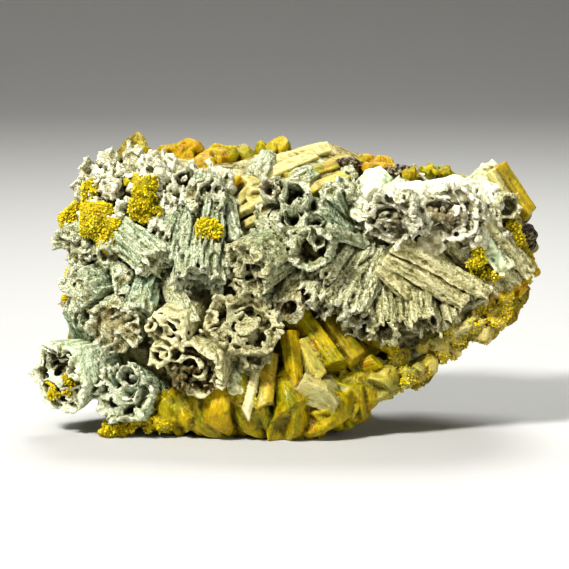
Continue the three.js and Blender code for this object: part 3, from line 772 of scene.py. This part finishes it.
grow_piece("rosette_crystals", (-6, -21, 14), (19, 1, 42), 6, [
    ((1.5, -15.5, 37), (3, -2, 30), (2.3, 3), dict(CUP, hollow=4, wall=0.6, ragged=0.4)),
    ((1, -15.5, 33.5), (3, -2, 29), (2.3, 2.6), dict(hollow=4, wall=0.7, ragged=0.4)),
    ((-2.5, -14, 37.5), (1, -4, 32.5), (1.6, 1.5), dict(CUP, inside={"orange": 0.6})),
    ((-1, -13.5, 38), (1.5, -4, 33.5), (1.4, 1.5), CUP),
    ((-0.5, -13, 33), (3, -2, 29), (4.4, 3.3), dict(hollow=2.5, ragged=0.6, septum=0.5)),
    ((3.5, -17, 28.8), (6.5, -4, 28.5), (3.3, 2.7),
     dict(CUP, hollow=4.5, wall=0.8, ragged=0.5, inside={"yellow": 0.5})),
    ((4.5, -16, 30), (6, -6, 29), (1.2, 1.2), dict(CUP, hollow=2, wall=0.4)),
    ((0.6, -15.2, 19.8), (2.6, -6, 25.5), (2.4, 1.9), dict(hollow=1.5, ragged=0.6, pits=0.3, zones=CREAM)),
    *side_by_side([(3.4, -15.2, 21.5), (9.5, -14.2, 17.6)], [(9.5, -8.5, 28.5), (14, -8, 25.5)],
                  4, (2, 1.5), BLADE),
    *side_by_side([(4.8, -14.6, 23.6), (11, -13.4, 20)], [(10, -8, 29.5), (14.5, -8, 27.5)],
                  3, (1.5, 1.3), BLADE),
    ((4.5, -13, 24), (7, -5, 27), (1.4, 1.5), dict(facets=1, zones={"cream": 0.5})),
    ((2.5, -13, 23.5), (3, -5, 26), (1.3, 1.5), dict(facets=1, zones={"cream": 0.5})),
    ((4.6, -13.5, 34.4), (10.5, -8, 30), (1.7, 1.5), dict(FLUTED, zones=TEAL)),
    ((6.8, -12.8, 37.6), (10.5, -7, 30.5), (1.9, 1.6), dict(FLUTED, zones=TEAL)),
    ((10, -12.5, 38), (11, -6, 30.5), (1.7, 1.5), FLUTED),
    ((5.6, -14.4, 31.6), (11.5, -9, 29), (1.1, 1.1), FLUTED),
    ((10.5, -12, 34.5), (13.5, -3, 37), (2.2, 2.4), dict(SMOOTH, ragged=0.2)),
], gaps=[dict(low=(-3, 18), high=(13, 38))])

# ---- Right-hand fan ----------------------------------------------------------------------------
# Long grooved prisms of coated pyromorphite that lie side by side and spread to the right, and short
# ones that hang below them, pitted all over. Yellow druse has grown between them.

LONG = dict(facets=1, stria=0.13, pits=0.25, crust=0.06, ragged=0.6, bulge=0.03,
            zones={"cream": 0.5, "smooth": 0.4})
HANGING = dict(hollow=0.8, wall=0.5, ragged=1.2, stria=0.2, pits=0.3, zones={"cream": 0.3, "teal": 0.15})
YOUNG = {"yellow": 1, "druse": 1}
fan_piece = grow_piece("right_fan", (8, -17, 11), (40, 3, 42), 7, [
    ((11, -13.5, 17), (14, -4, 21.5), (2.8, 2.4), dict(hollow=3, ragged=1)),
    ((14.8, -13.8, 15.6), (14.2, -6, 25), (2.3, 1.7), dict(HANGING, hollow=2, walled=False, wall=0.7)),
    ((20.6, -12.8, 16.8), (19, -6, 26), (2.5, 1.9), dict(HANGING, hollow=2, cross=0.4)),
    ((17.6, -12.5, 17), (17, -6, 26), (1, 1.2), HANGING),
    ((12, -11.5, 20), (15, -4, 25), (1.6, 1.8), HANGING),
    ((24.4, -11, 17.2), (22.5, -5, 26), (1.3, 1.3), HANGING),
    *side_by_side([(29.5, -9.5, 20.5), (23, -10, 18)], [(16.5, -11.5, 29), (14.5, -10.5, 25.5)],
                  3, (1.5, 1.7), LONG),
    *side_by_side([(36, -5, 23), (30.5, -6, 18.5)], [(28.5, -9.5, 32.5), (20.5, -8, 29)],
                  4, (1.5, 1.8), LONG),
    ((32.5, -8.2, 24.5), (27, -8.5, 33), (1.8, 2), dict(LONG, zones={"teal": 0.5, "smooth": 0.8})),
    ((30.5, -7, 20), (23, -6, 16), (1.1, 1.2), LONG),
    ((33, -10, 34), (30.5, 1, 34), (1.9, 1.8), dict(walled=False, hollow=3, wall=0.6)),
    ((36, -3, 23.5), (32, -4, 32.5), (1.7, 2.2), dict(LONG, zones={"yellow": 0.9, "druse": 0.5})),
    ((31, -2, 38.5), (28, 2, 34.5), (1.9, 2.4), dict(SMOOTH, ragged=0.2)),
], crumbs=[
    ((28.3, -10, 26.8), (1.1, 0.5, 1.3), 9, 0.8, YOUNG),
    ((30.8, -8.4, 24.8), (0.8, 0.5, 1.4), 8, 0.7, YOUNG),
    ((28.3, -8.5, 23.6), (0.8, 0.5, 0.8), 6, 0.8, YOUNG),
    ((33.5, -7, 29.5), (1, 0.5, 2.2), 12, 0.8, dict(YOUNG, orange=0.2)),
], gaps=[dict(low=(10, 14), high=(36, 36), lean=(0.3, -0.6), size=(1, 1.8), out=-8.5, slope=0.35,
              zones={"cream": 0.4})], finish=beige_crust)

# ---- Upper right barrels -----------------------------------------------------------------------
# Three wide crystals under a smooth white crust, whose ends are eaten out brown. Lumps of the crust
# join them, and below them one bare grey face is left open, its own grey-beige darkened by painted shade.

# Half the wear setting: fainter sand, streaks and pits, and lighter painted shade in grooves and crevices.
white_crust = mineral_paint("white crust", "E8EACE", "CED3AC", "FBFBE8", wear_and_shade=0.5)
barrels = Field((9, -21, 24), (34, 6, 43), STEP, 8)
grow_crystals(barrels, [
    ((15.5, -15, 33), (19, 3, 35), (4.3, 3), dict(hollow=2, ragged=1.2, stria=0.25, inside={"hollow": 0.6})),
    ((24, -12.5, 33.3), (25.5, 5, 33.5), (4.4, 2.8),
     dict(hollow=2, ragged=1.2, stria=0.06, inside={"hollow": 0.8}, zones={"smooth": 0.6})),
    ((27.5, -11.5, 33), (27.5, 3, 33), (2.4, 2.2), dict(hollow=0.8, crumbly=True, inside={"hollow": 0.7})),
    ((19.5, -13, 31.5), (21, -3, 34), (2, 2), dict(hollow=1.2, ragged=1)),
    ((30, -9.5, 31.5), (29.5, -2, 33.5), (2, 2), dict(hollow=1.5, ragged=0.9)),
])
fill_gaps(barrels, (12, 28), (33, 38), lean=(0.1, -0.5), spacing=2.8, size=(1, 1.8), out=-9.5)
for number, (place, radius, squash) in enumerate([
    ((23, -8.5, 36.5), 3.2, (1.2, 1.1, 0.6)), ((28, -7, 36.2), 3, (1.2, 1, 0.6)),
    ((12.3, -11.5, 36.2), 2.4, (1, 0.8, 1)), ((18, -10.5, 36.4), 2.4, (1.2, 1, 0.6)),
    ((30.5, -7, 34.8), 2, (1, 1, 1)),
]):
    grow_lump(barrels, place, radius, 820 + number, {"smooth": 0.7}, squash, 0.3)
# The face's own cream and teal, with the brown of the hollow zone laid over it as painted shade.
SHADED_GREY_FACE = {"smooth": 1, "cream": 0.6, "hollow": 0.75, "teal": 0.4}
scatter_lumps(barrels, (24, -11.6, 33), (3, 0.5, 1), 30, 0.55, {"cream": 1, "hollow": 0.7})
scatter_lumps(barrels, (15.3, -14.2, 32.6), (2.4, 0.5, 1), 24, 0.5, {"cream": 1, "hollow": 0.6})
grow_lump(barrels, (21.7, -11, 28.4), 2.4, 810, SHADED_GREY_FACE, (1, 0.7, 0.95), 0.05)
grow_lump(barrels, (27, -9.8, 31.2), 2.9, 811, {"smooth": 0.3, "cream": 0.5}, (0.9, 0.7, 1.2), 0.5)
scatter_lumps(barrels, (27, -11.5, 31.5), (1.6, 0.5, 2), 26, 0.6, {"smooth": 0.3, "cream": 0.4})
set_and_finish(barrels, "upper_right_barrels", white_crust, pits=0.5)

# ---- Top left crust ----------------------------------------------------------------------------
# Short ragged crystals crowded together under a white crust. Two sets of fine points, one over the
# other, make the crust's broken skin.

POINTS = dict(fan=1.1, ragged=1)
corner_piece = grow_piece("top_left_crust", (-37, -15, 24), (-4, 13, 46), 9, [
    ((-25.8, -9.5, 37), (-24, 5, 34), (1.7, 2.4), dict(FLUTED, hollow=1, inside={"hollow": 0.5})),
    ((-18, -3, 40), (-16.5, 6, 34.5), (1.8, 2.2), FLUTED),
    ((-29.5, -4, 39.3), (-27, 6, 35), (1.5, 1.8), FLUTED),
    ((-26.5, -3, 40.8), (-24.5, 7, 36), (1.6, 1.8), FLUTED),
    ((-22.8, -2, 41.2), (-21.5, 8, 36), (1.6, 1.8), FLUTED),
    ((-20, -2.5, 40.6), (-19, 8, 35), (1.5, 1.7), FLUTED),
    ((-31, -5, 36.5), (-26, 2, 33.5), (1.5, 1.8), FLUTED),
    ((-28, -7, 37.2), (-25, 2, 34), (1.3, 1.5), FLUTED),
    ((-23.5, -6.5, 39.2), (-22, 3, 34.5), (1.3, 1.5), FLUTED),
    ((-20.5, -11.5, 34.5), (-20, 1, 33), (2.2, 2.6), dict(FLUTED, zones={"yellow": 1, "druse": 0.5})),
    ((-15, -9.5, 38.3), (-14, 2, 32), (1.9, 2.4), dict(FLUTED, hollow=1.5)),
    ((-19, -12.2, 31), (-17.5, -5, 37), (1.1, 1.2), FLUTED),
    ((-10, -8, 38), (-7, 0, 33.5), (2.3, 2.6), dict(SHORT, zones={"teal": 0.3})),
], crumbs=[((-20.5, -10, 37), (1.4, 0.5, 1), 10, 0.8, {"yellow": 1, "druse": 0.6})], gaps=[
    dict(POINTS, low=(-31, 30), high=(-9, 42), spacing=1.4, size=(0.5, 0.9), lean=(-0.3, 0.7), out=-9.8,
         zones={"smooth": 0.4}),
    dict(POINTS, low=(-31, 33), high=(-9, 42), spacing=1.2, size=(0.4, 0.7), lean=(0.2, 1.2), out=-9.2,
         zones={"teal": 0.15, "smooth": 0.4}),
], finish=white_crust)

# ---- Flat yellow prisms on the top -------------------------------------------------------------
# Prisms of pyromorphite lying across the top, with little or no coat on them and smooth along their
# length. Lumps of it, some orange and some of dark brown limonite, have grown among them.

COATED = {"yellow": 0.4, "cream": 0.8, "smooth": 0.6}
BARE = {"yellow": 0.9, "cream": 0.3, "smooth": 0.6}


def grow_prism(field, tip, root, half, seed, zones, cut):
    """A flat-faced, six-sided prism. half is half its width and half its thickness; cut is how far
    its end slants, per mm of width and of thickness."""
    rng = np.random.default_rng(seed)
    reach = max(half) * 1.8 + 1
    where, length, directions, (t, u, v) = round_crystal(field, tip, root, reach, (0, 1, 0))
    u, v = u / half[0], v / half[1]
    widest = np.maximum(t - length + cut[0] * u * half[0] + cut[1] * v * half[1], -t)
    for turn in np.arange(6) * math.pi / 3 + rng.uniform(-0.12, 0.12, 6):
        face = (u * math.cos(turn) + v * math.sin(turn) - rng.uniform(0.86, 1)) * min(half)
        widest = np.maximum(widest, face)
    widest = widest - 0.05 * (field.fine[where] + 0.5 * field.coarse[where] + 0.6 * field.flake[where])
    field.join(where, widest.astype(np.float32), zones, fibres_along(directions, root, seed))


def grow_prisms(field, seed, prisms):
    """Several prisms, each given as its tip, its root, its halves, its zones and its cut."""
    for number, (tip, root, half, zones, cut) in enumerate(prisms):
        grow_prism(field, tip, root, half, seed + number, zones, cut)


top = Field((-30, -14, 26), (39, 13, 45), STEP, 10)
grow_prisms(top, 1000, [
    ((9.5, 1, 39.6), (0, -5.5, 37.2), (1.5, 2.4), BARE, (0.3, 0)),
    ((4.5, 0, 40.4), (-6, -7.5, 36.8), (1.4, 2.2), COATED, (0.4, 0.2)),
    ((6, 3, 41.2), (-4, -3, 39), (1.4, 2.2), COATED, (-0.3, 0)),
    ((8.5, -4, 37.8), (1, -9, 35.2), (1.2, 2.2), BARE, (0.4, 0)),
    ((-2.5, -11, 35.6), (-9, -5, 31.5), (0.9, 1.4), COATED, (0.3, 0)),
    ((-2.5, -11, 33.4), (-8, -5, 29.6), (0.8, 1.3), COATED, (0, 0.3)),
    ((-4, -8.5, 37.4), (-8.5, -4, 32), (1.2, 1.8), COATED, (0.5, 0)),
    ((0.5, -7.5, 37.2), (-5.5, -8.5, 34.6), (0.9, 1.6), COATED, (0.5, 0)),
    ((36.6, -2.5, 32), (31.8, -1.5, 39.4), (1.4, 1.9), {"yellow": 0.95, "orange": 0.3}, (0.3, 0)),
    ((34.2, -4, 32.5), (30.6, -2.5, 38.6), (1, 1.5), COATED, (0.5, 0)),
])
LUMP_PARTS = 5
TOP_LUMPS = [
    # x, y, z, radius, yellow, orange, limonite
    (-14.5, 2, 40.2, 2.2, 1, 0.5, 0), (-9, 2, 40.4, 2.1, 1, 0.1, 0), (-12, -1, 39.3, 1.9, 1, 0.5, 0),
    (-17, 4, 40.7, 1.8, 1, 0.3, 0), (-6, 3, 40.1, 1.8, 1, 0, 0), (-21.5, 3, 41.2, 1.1, 1, 0.1, 0),
    (-1.5, 3, 41, 2, 1, 0.1, 0), (-7, -7, 37.6, 1.1, 1, 0.5, 0), (9.5, -2, 39.4, 1.4, 0, 0, 1),
    (12, 0, 38.6, 1.7, 1, 0.6, 0.1), (14.5, 0, 38.4, 1.7, 1, 0.6, 0), (17, -2, 38, 1.4, 0, 0, 1),
    (19, -5.5, 38.3, 1.2, 1, 0.1, 0), (21.6, -5.5, 38.9, 1.3, 1, 0, 0), (23.5, -5, 38.5, 1, 1, 0.2, 0),
    (19.5, -1, 37.7, 1.5, 0.3, 0, 0.6), (23, -1, 37.4, 1.9, 1, 0.1, 0), (36.5, -1.5, 29, 1.3, 0, 0.2, 1),
    (36, 0, 27, 1.4, 0, 0, 1), (-22, -8, 37.3, 1.3, 1, 0, 0), (-20.5, -8.5, 36.6, 1, 1, 0, 0),
    (-27.5, -9, 31.3, 2.6, 1, 0.1, 0), (-25.5, -10.2, 29.6, 1.7, 1, 0.1, 0),
    (-29.8, -6.5, 33, 1.7, 1, 0.3, 0), (-28.7, -6, 36.2, 1.5, 1, 0.1, 0), (-30.2, -4, 34.8, 1.3, 1, 0.3, 0),
]
for number, (x, y, z, radius, yellow, orange, limonite) in enumerate(TOP_LUMPS):
    zones = {"yellow": yellow, "orange": orange, "limonite": limonite, "druse": yellow * (x < -25)}
    grow_lump(top, (x, y, z), radius, 1020 + number, zones, rough=0.2, ball=1.3)
    for part in range(LUMP_PARTS):
        turn = 2.4 * part + number
        off = np.array([math.cos(turn), math.sin(turn), 0.35]) * radius * 0.75
        seed = 1100 + LUMP_PARTS * number + part
        grow_lump(top, np.array([x, y, z - 0.3]) + off, radius * 0.55, seed, zones, rough=0.2, ball=1.3)
top_piece = set_and_finish(top, "top_prisms", pyromorphite_paint, crumbling=0.05)

# ---- Foot of yellow-green pyromorphite ---------------------------------------------------------
# Glassy yellow-green masses of pyromorphite along the lower front edge, broken into angular faces,
# with a few flat prisms standing in them.

FOOT_LINE = [
    # x, y, z, radius, size of its parts, orange, olive, pale, druse
    (-23, -8.5, 2, 2, 0.35, 0.2, 0, 0, 0.6), (-20, -9.5, 2.6, 2.9, 0.35, 0.1, 0, 0, 0.5),
    (-16.5, -9.5, 4, 3.6, 0.6, 0, 0.1, 0, 0.1), (-12.5, -10, 4.2, 4, 0.7, 0, 0.15, 0, 0),
    (-8.5, -10.5, 5, 4, 0.8, 0.2, 0.2, 0, 0), (-4.5, -11, 5, 4.2, 1, 0, 0, 0, 0),
    (-1, -11, 4.8, 4.2, 1, 0, 0, 0, 0), (3, -10.6, 4.2, 3.8, 0.95, 0, 0.05, 0, 0),
    (7, -10.2, 5, 3.8, 0.8, 0, 0.05, 0, 0), (10.5, -9.2, 6.4, 3.7, 0.7, 0, 0.05, 0, 0.1),
    (14, -9, 8, 3.6, 0.5, 0, 0, 0.2, 0.2), (17.5, -8.5, 9.8, 3.3, 0.4, 0, 0, 0.2, 0.4),
    (21, -8, 11.8, 3, 0.4, 0.15, 0, 0.3, 0.4), (24.5, -7.6, 13.8, 2.9, 0.4, 0.1, 0, 0.4, 0.4),
    (27, -7.6, 15.2, 2.9, 0.4, 0, 0, 0.7, 0.2), (30, -7, 17, 2.9, 0.4, 0.4, 0, 0.3, 0.5),
    (33, -6, 19.2, 2.8, 0.4, 0.4, 0, 0.1, 0.5), (35, -4, 21.4, 2.3, 0.4, 0.5, 0.1, 0, 0.5),
    (36, -3, 24.4, 1.9, 0.4, 0.4, 0, 0, 0.5), (36.4, -2, 27.5, 1.5, 0.4, 0.2, 0, 0, 0.5),
]
FOOT_PARTS = 190
GOLDEN = {"yellow": 1, "orange": 0.12, "smooth": 0.6}
LYING = {"cream": 0.7, "teal": 0.5, "yellow": 0.45, "hollow": 0.15, "smooth": 0.3}
foot = Field((-27, -20, -1), (40, 4, 33), STEP, 11)
rng = np.random.default_rng(11)
for part in range(FOOT_PARTS):
    place = rng.uniform(0, len(FOOT_LINE) - 1)
    x, y, z, radius, size, orange, olive, pale, druse = (
        np.interp(place, np.arange(len(FOOT_LINE)), column) for column in zip(*FOOT_LINE)
    )
    size = radius * size * rng.uniform(0.8, 1.25)
    off = rng.normal(size=3) - (0, 0.7, 0)
    spot = np.array([x, y, z]) + off / np.linalg.norm(off) * max(0, radius - size)
    tint = rng.uniform(-0.3, 0.3)
    zones = {
        "yellow": 1 - pale, "cream": pale, "orange": max(0, orange + 0.6 * tint),
        "hollow": 0.4 * max(0, olive - tint), "druse": druse * rng.uniform(0, 2), "smooth": 0.7 - druse,
    }
    grow_lump(foot, spot, size, 1200 + part, zones, rng.uniform(0.75, 1.25, 3), 0.04, (tint, 0.2, 1), 1.3)
grow_lump(foot, (3, -7.5, 11.5), 5.2, 1590, GOLDEN, (1.3, 0.8, 1), 0.1)
grow_lump(foot, (10, -7, 13), 3.6, 1591, GOLDEN, (1.3, 0.8, 0.8), 0.1)
grow_prisms(foot, 1600, [
    ((7.6, -12.8, 10.6), (1.2, -9, 18.6), (2.3, 2.2), GOLDEN, (-0.3, 0.3)),
    ((11, -11.8, 11.2), (5.8, -8.5, 18.2), (1.9, 1.9), dict(GOLDEN, hollow=0.5), (0.2, 0.3)),
    ((1.9, -14.6, 7.4), (0.6, -12.4, 16), (1.4, 1.6), dict(GOLDEN, orange=0.25), (0.9, 0)),
    ((5.2, -14.2, 8.8), (2.2, -12, 14.5), (1.8, 1.3), {"yellow": 0.8, "cream": 0.6, "smooth": 0.7}, (0.5, 0)),
    ((4.8, -16.6, 6.9), (6.5, -8, 9), (3.6, 1.9), LYING, (0.1, 0)),
    ((-2.8, -16, 5.4), (-2, -12, 12.5), (1.3, 1.3), dict(BARE, orange=0.25), (0.6, 0)),
    ((-5.8, -16.2, 4.2), (-3.6, -12.5, 11.5), (0.9, 1.1),
     {"cream": 0.5, "yellow": 0.1, "smooth": 0.8}, (-1, 0)),
    ((13.6, -12.2, 11.6), (8.8, -10, 9.4), (1.3, 0.8), GOLDEN, (0.4, 0)),
    ((16, -10.5, 13.2), (10, -8, 16), (1.2, 1.2), GOLDEN, (0.5, 0)),
])
foot_piece = set_and_finish(foot, "yellow_foot", pyromorphite_paint, crumbling=0.03)

# ---- Back and underside ------------------------------------------------------------------------
# Stubby crystals and rough masses of pyromorphite that stand a little way out of the body, each with
# small crystals round it, and with remains of the pale crust on them.

BACK_STEP = 0.35
BACK_FROM, BACK_OUT, BACK_RADIUS, BACK_LEAN = 8.5, 17.6, 3.9, 3.2
BACK_ROWS = [
    # z, x of the first and last, count
    (8, -20, 7, 3), (16.5, -25, 20, 5), (25, -26, 29, 6), (33.5, -24, 26, 5),
]
BACK_TOP = 35  # mm, above which no crystal of the back may reach
BACK_SPREAD, BACK_SMALL_OUT = (4.6, 4.2), 15.2  # mm to the small crystals round each, in x and z, and in y
UNDER_ROWS = [
    # first, last, count
    ((14, -1, 6.5), (33, 0, 19), 5), ((13, 6, 6.5), (32, 7, 19), 5), ((-29, 2, 13), (-23, 5, 3.5), 3),
]
BACK_LUMPS = [
    (-23, 8, 38.5, 4.2), (-6, 9, 37.5, 4.6), (8, 8, 36.5, 4.4), (24, 6, 33.3, 3.4), (33, 5, 30, 4),
    (-29, 6, 31, 4.3), (-29.5, 7, 20, 4.4), (36, 1, 28, 2.2), (35, -2, 24, 2.1), (-28, 3, 26, 3.4),
]


def vary(a, b):
    """A number from -1 to 1 that looks random and is the same every time."""
    s = math.sin(a * 12.9898 + b * 78.233) * 43758.5453
    return 2 * (s - math.floor(s)) - 1


back = Field((-37, -7, -1), (40, 21, 46), BACK_STEP, 12)
for row, (z, first, last, count) in enumerate(BACK_ROWS):
    for i in range(count):
        seed = 10 * row + i
        x = first + (last - first) * i / (count - 1)
        size = BACK_RADIUS * (1 + 0.28 * vary(seed, 3))
        out = BACK_OUT + 2.1 * vary(seed, 5)
        tip = (x + BACK_LEAN * vary(seed, 4), out, min(BACK_TOP, z + BACK_LEAN * vary(seed, 6)))
        coat = 0.5 + 0.5 * vary(seed, 8)
        grow_crystal(back, tip, (x, BACK_FROM, z), (size, size), 2000 + seed, hollow=1.8 * (seed % 5 == 0),
                     ragged=0.8, stria=0.2, pits=0.25, zones={"yellow": 0.9 * (1 - coat), "cream": 0.4})
        for part in range(4):
            turn = 1.7 * part + seed
            rise = min(BACK_TOP - 1, z + BACK_SPREAD[1] * math.sin(turn))
            spot = np.array([x + BACK_SPREAD[0] * math.cos(turn), BACK_SMALL_OUT, rise])
            tip = spot + (vary(part, seed), 0.6, vary(seed, part))
            grow_crystal(back, tip, spot - (0, 5, 0), (1.9, 2.1), 2200 + 4 * seed + part, ragged=0.7,
                         stria=0.2, zones={"yellow": 0.8 * coat, "cream": 0.3})
for row, (first, last, count) in enumerate(UNDER_ROWS):
    for i in range(count):
        place = np.array(first) + (np.array(last) - first) * i / (count - 1)
        zones = {"yellow": 0.9, "orange": 0.15, "druse": 0.2}
        grow_lump(back, place, 3.6, 2100 + 10 * row + i, zones, rough=0.25)
for number, (x, y, z, radius) in enumerate(BACK_LUMPS):
    zones = {"yellow": 0.45 + 0.45 * vary(number, 9), "cream": 0.5, "orange": 0.15}
    if x < -27:
        zones = {"yellow": 1, "orange": 0.3, "druse": 0.8}
    grow_lump(back, (x, y, z), radius, 2150 + number, zones, rough=0.35)
back_piece = set_and_finish(back, "back_crystals", beige_crust, pits=0.4)

# ---- Yellow druse ------------------------------------------------------------------------------
# Tiny six-sided crystals of pyromorphite that sit close together on the yellow places. They are
# scattered over the druse zones of the pieces below them, and stand square to the surface.

GRAIN_SIZE = 0.00016  # metres
GRAINS_PER_M2 = 9e6
CLEAR_OF_TABLE = 0.0006  # metres
GRAIN_SEED = 4
HEXAGON = {"Vertices": 6, "Radius Top": 0.45, "Radius Bottom": 1, "Depth": 1.6}
TILT = {0: (-0.5, -0.5, 0), 1: (0.5, 0.5, 6.28)}  # radians, least and most
UNEVEN = {2: 0.5, 3: 1.4}  # share of the size, least and most
DRUSE_SHADES = ((0.3, "867E04"), (0.48, "B8A604"), (0.6, "DCC814"), (0.75, "C48C08"))

grain_paint, tree, shader = paint("yellow druse", shade_of("B8A20A"), 0.4)
places = tree.nodes.new("ShaderNodeTexCoord").outputs["Object"]
spots = wired(tree, "ShaderNodeTexNoise", {"Vector": places, "Scale": 900, "Detail": 3})
shades = wired(tree, "ShaderNodeValToRGB", {"Fac": spots.outputs["Fac"]})
for place, shade in DRUSE_SHADES:
    shades.color_ramp.elements.new(place).color = (*shade_of(shade), 1)
tree.links.new(shades.outputs["Color"], shader.inputs["Base Color"])
shader.inputs["Subsurface Weight"].default_value = 0.2
shader.inputs["Subsurface Radius"].default_value = (1.0, 0.8, 0.2)
shader.inputs["Subsurface Scale"].default_value = 0.0006

druse_tree = bpy.data.node_groups.new("druse", "GeometryNodeTree")
for name, in_out, kind in (
    ("Geometry", "INPUT", "Geometry"), ("Grains per square metre", "INPUT", "Float"),
    ("Grain size", "INPUT", "Float"), ("Geometry", "OUTPUT", "Geometry"),
):
    druse_tree.interface.new_socket(name, in_out=in_out, socket_type="NodeSocket" + kind)


def druse_node(kind, sockets={}, **settings):
    return wired(druse_tree, kind, sockets, **settings).outputs


def druse_sum(operation, a, b):
    return druse_node("ShaderNodeMath", {0: a, 1: b}, operation=operation)["Value"]


given = druse_node("NodeGroupInput")
held = druse_node("GeometryNodeInputNamedAttribute", {"Name": "zones_d"}, data_type="FLOAT_COLOR")
zone = druse_node("FunctionNodeSeparateColor", {"Color": [s for s in held if s.type == "RGBA"][0]})["Blue"]
share = druse_node("ShaderNodeMapRange", {"Value": zone, "From Min": 0.15, "From Max": 0.8})["Result"]
place = druse_node("GeometryNodeInputPosition")["Position"]
height = druse_node("ShaderNodeSeparateXYZ", {"Vector": place})["Z"]
share = druse_sum("MULTIPLY", share, druse_sum("GREATER_THAN", height, CLEAR_OF_TABLE))
density = druse_sum("MULTIPLY", share, given["Grains per square metre"])
points = druse_node("GeometryNodeDistributePointsOnFaces",
                    {"Mesh": given["Geometry"], "Density": density, "Seed": GRAIN_SEED})
grain = druse_node("GeometryNodeMeshCone", HEXAGON)
tilt = druse_node("FunctionNodeRandomValue", TILT, data_type="FLOAT_VECTOR")
turned = druse_node("FunctionNodeRotateRotation", {"Rotation": points["Rotation"], "Rotate By": tilt[0]},
                    rotation_space="LOCAL")
uneven = druse_node("FunctionNodeRandomValue", UNEVEN, data_type="FLOAT")[1]
placed = druse_node("GeometryNodeInstanceOnPoints", {
    "Points": points["Points"], "Instance": grain["Mesh"], "Rotation": turned["Rotation"],
    "Scale": druse_sum("MULTIPLY", uneven, given["Grain size"]),
})
real = druse_node("GeometryNodeRealizeInstances", {"Geometry": placed["Instances"]})
done = druse_node("GeometryNodeSetMaterial", {"Geometry": real["Geometry"], "Material": grain_paint})
druse_node("NodeGroupOutput", {"Geometry": done["Geometry"]})

sockets = {s.name: s.identifier for s in druse_tree.interface.items_tree if s.in_out == "INPUT"}
for ground in (left_piece, bearer_piece, fan_piece, corner_piece, top_piece, foot_piece, back_piece):
    carrier = bpy.data.objects.new("druse carrier", ground.data)
    bpy.context.collection.objects.link(carrier)
    grower = carrier.modifiers.new("druse", "NODES")
    grower.node_group = druse_tree
    grower[sockets["Grains per square metre"]] = GRAINS_PER_M2
    grower[sockets["Grain size"]] = GRAIN_SIZE
    grown = bpy.data.meshes.new_from_object(carrier.evaluated_get(bpy.context.evaluated_depsgraph_get()))
    carrier.modifiers.remove(grower)
    bpy.data.objects.remove(carrier)
    druse = bpy.data.objects.new(f"druse_on_{ground.name}", grown)
    bpy.context.collection.objects.link(druse)
    hand_over(druse)
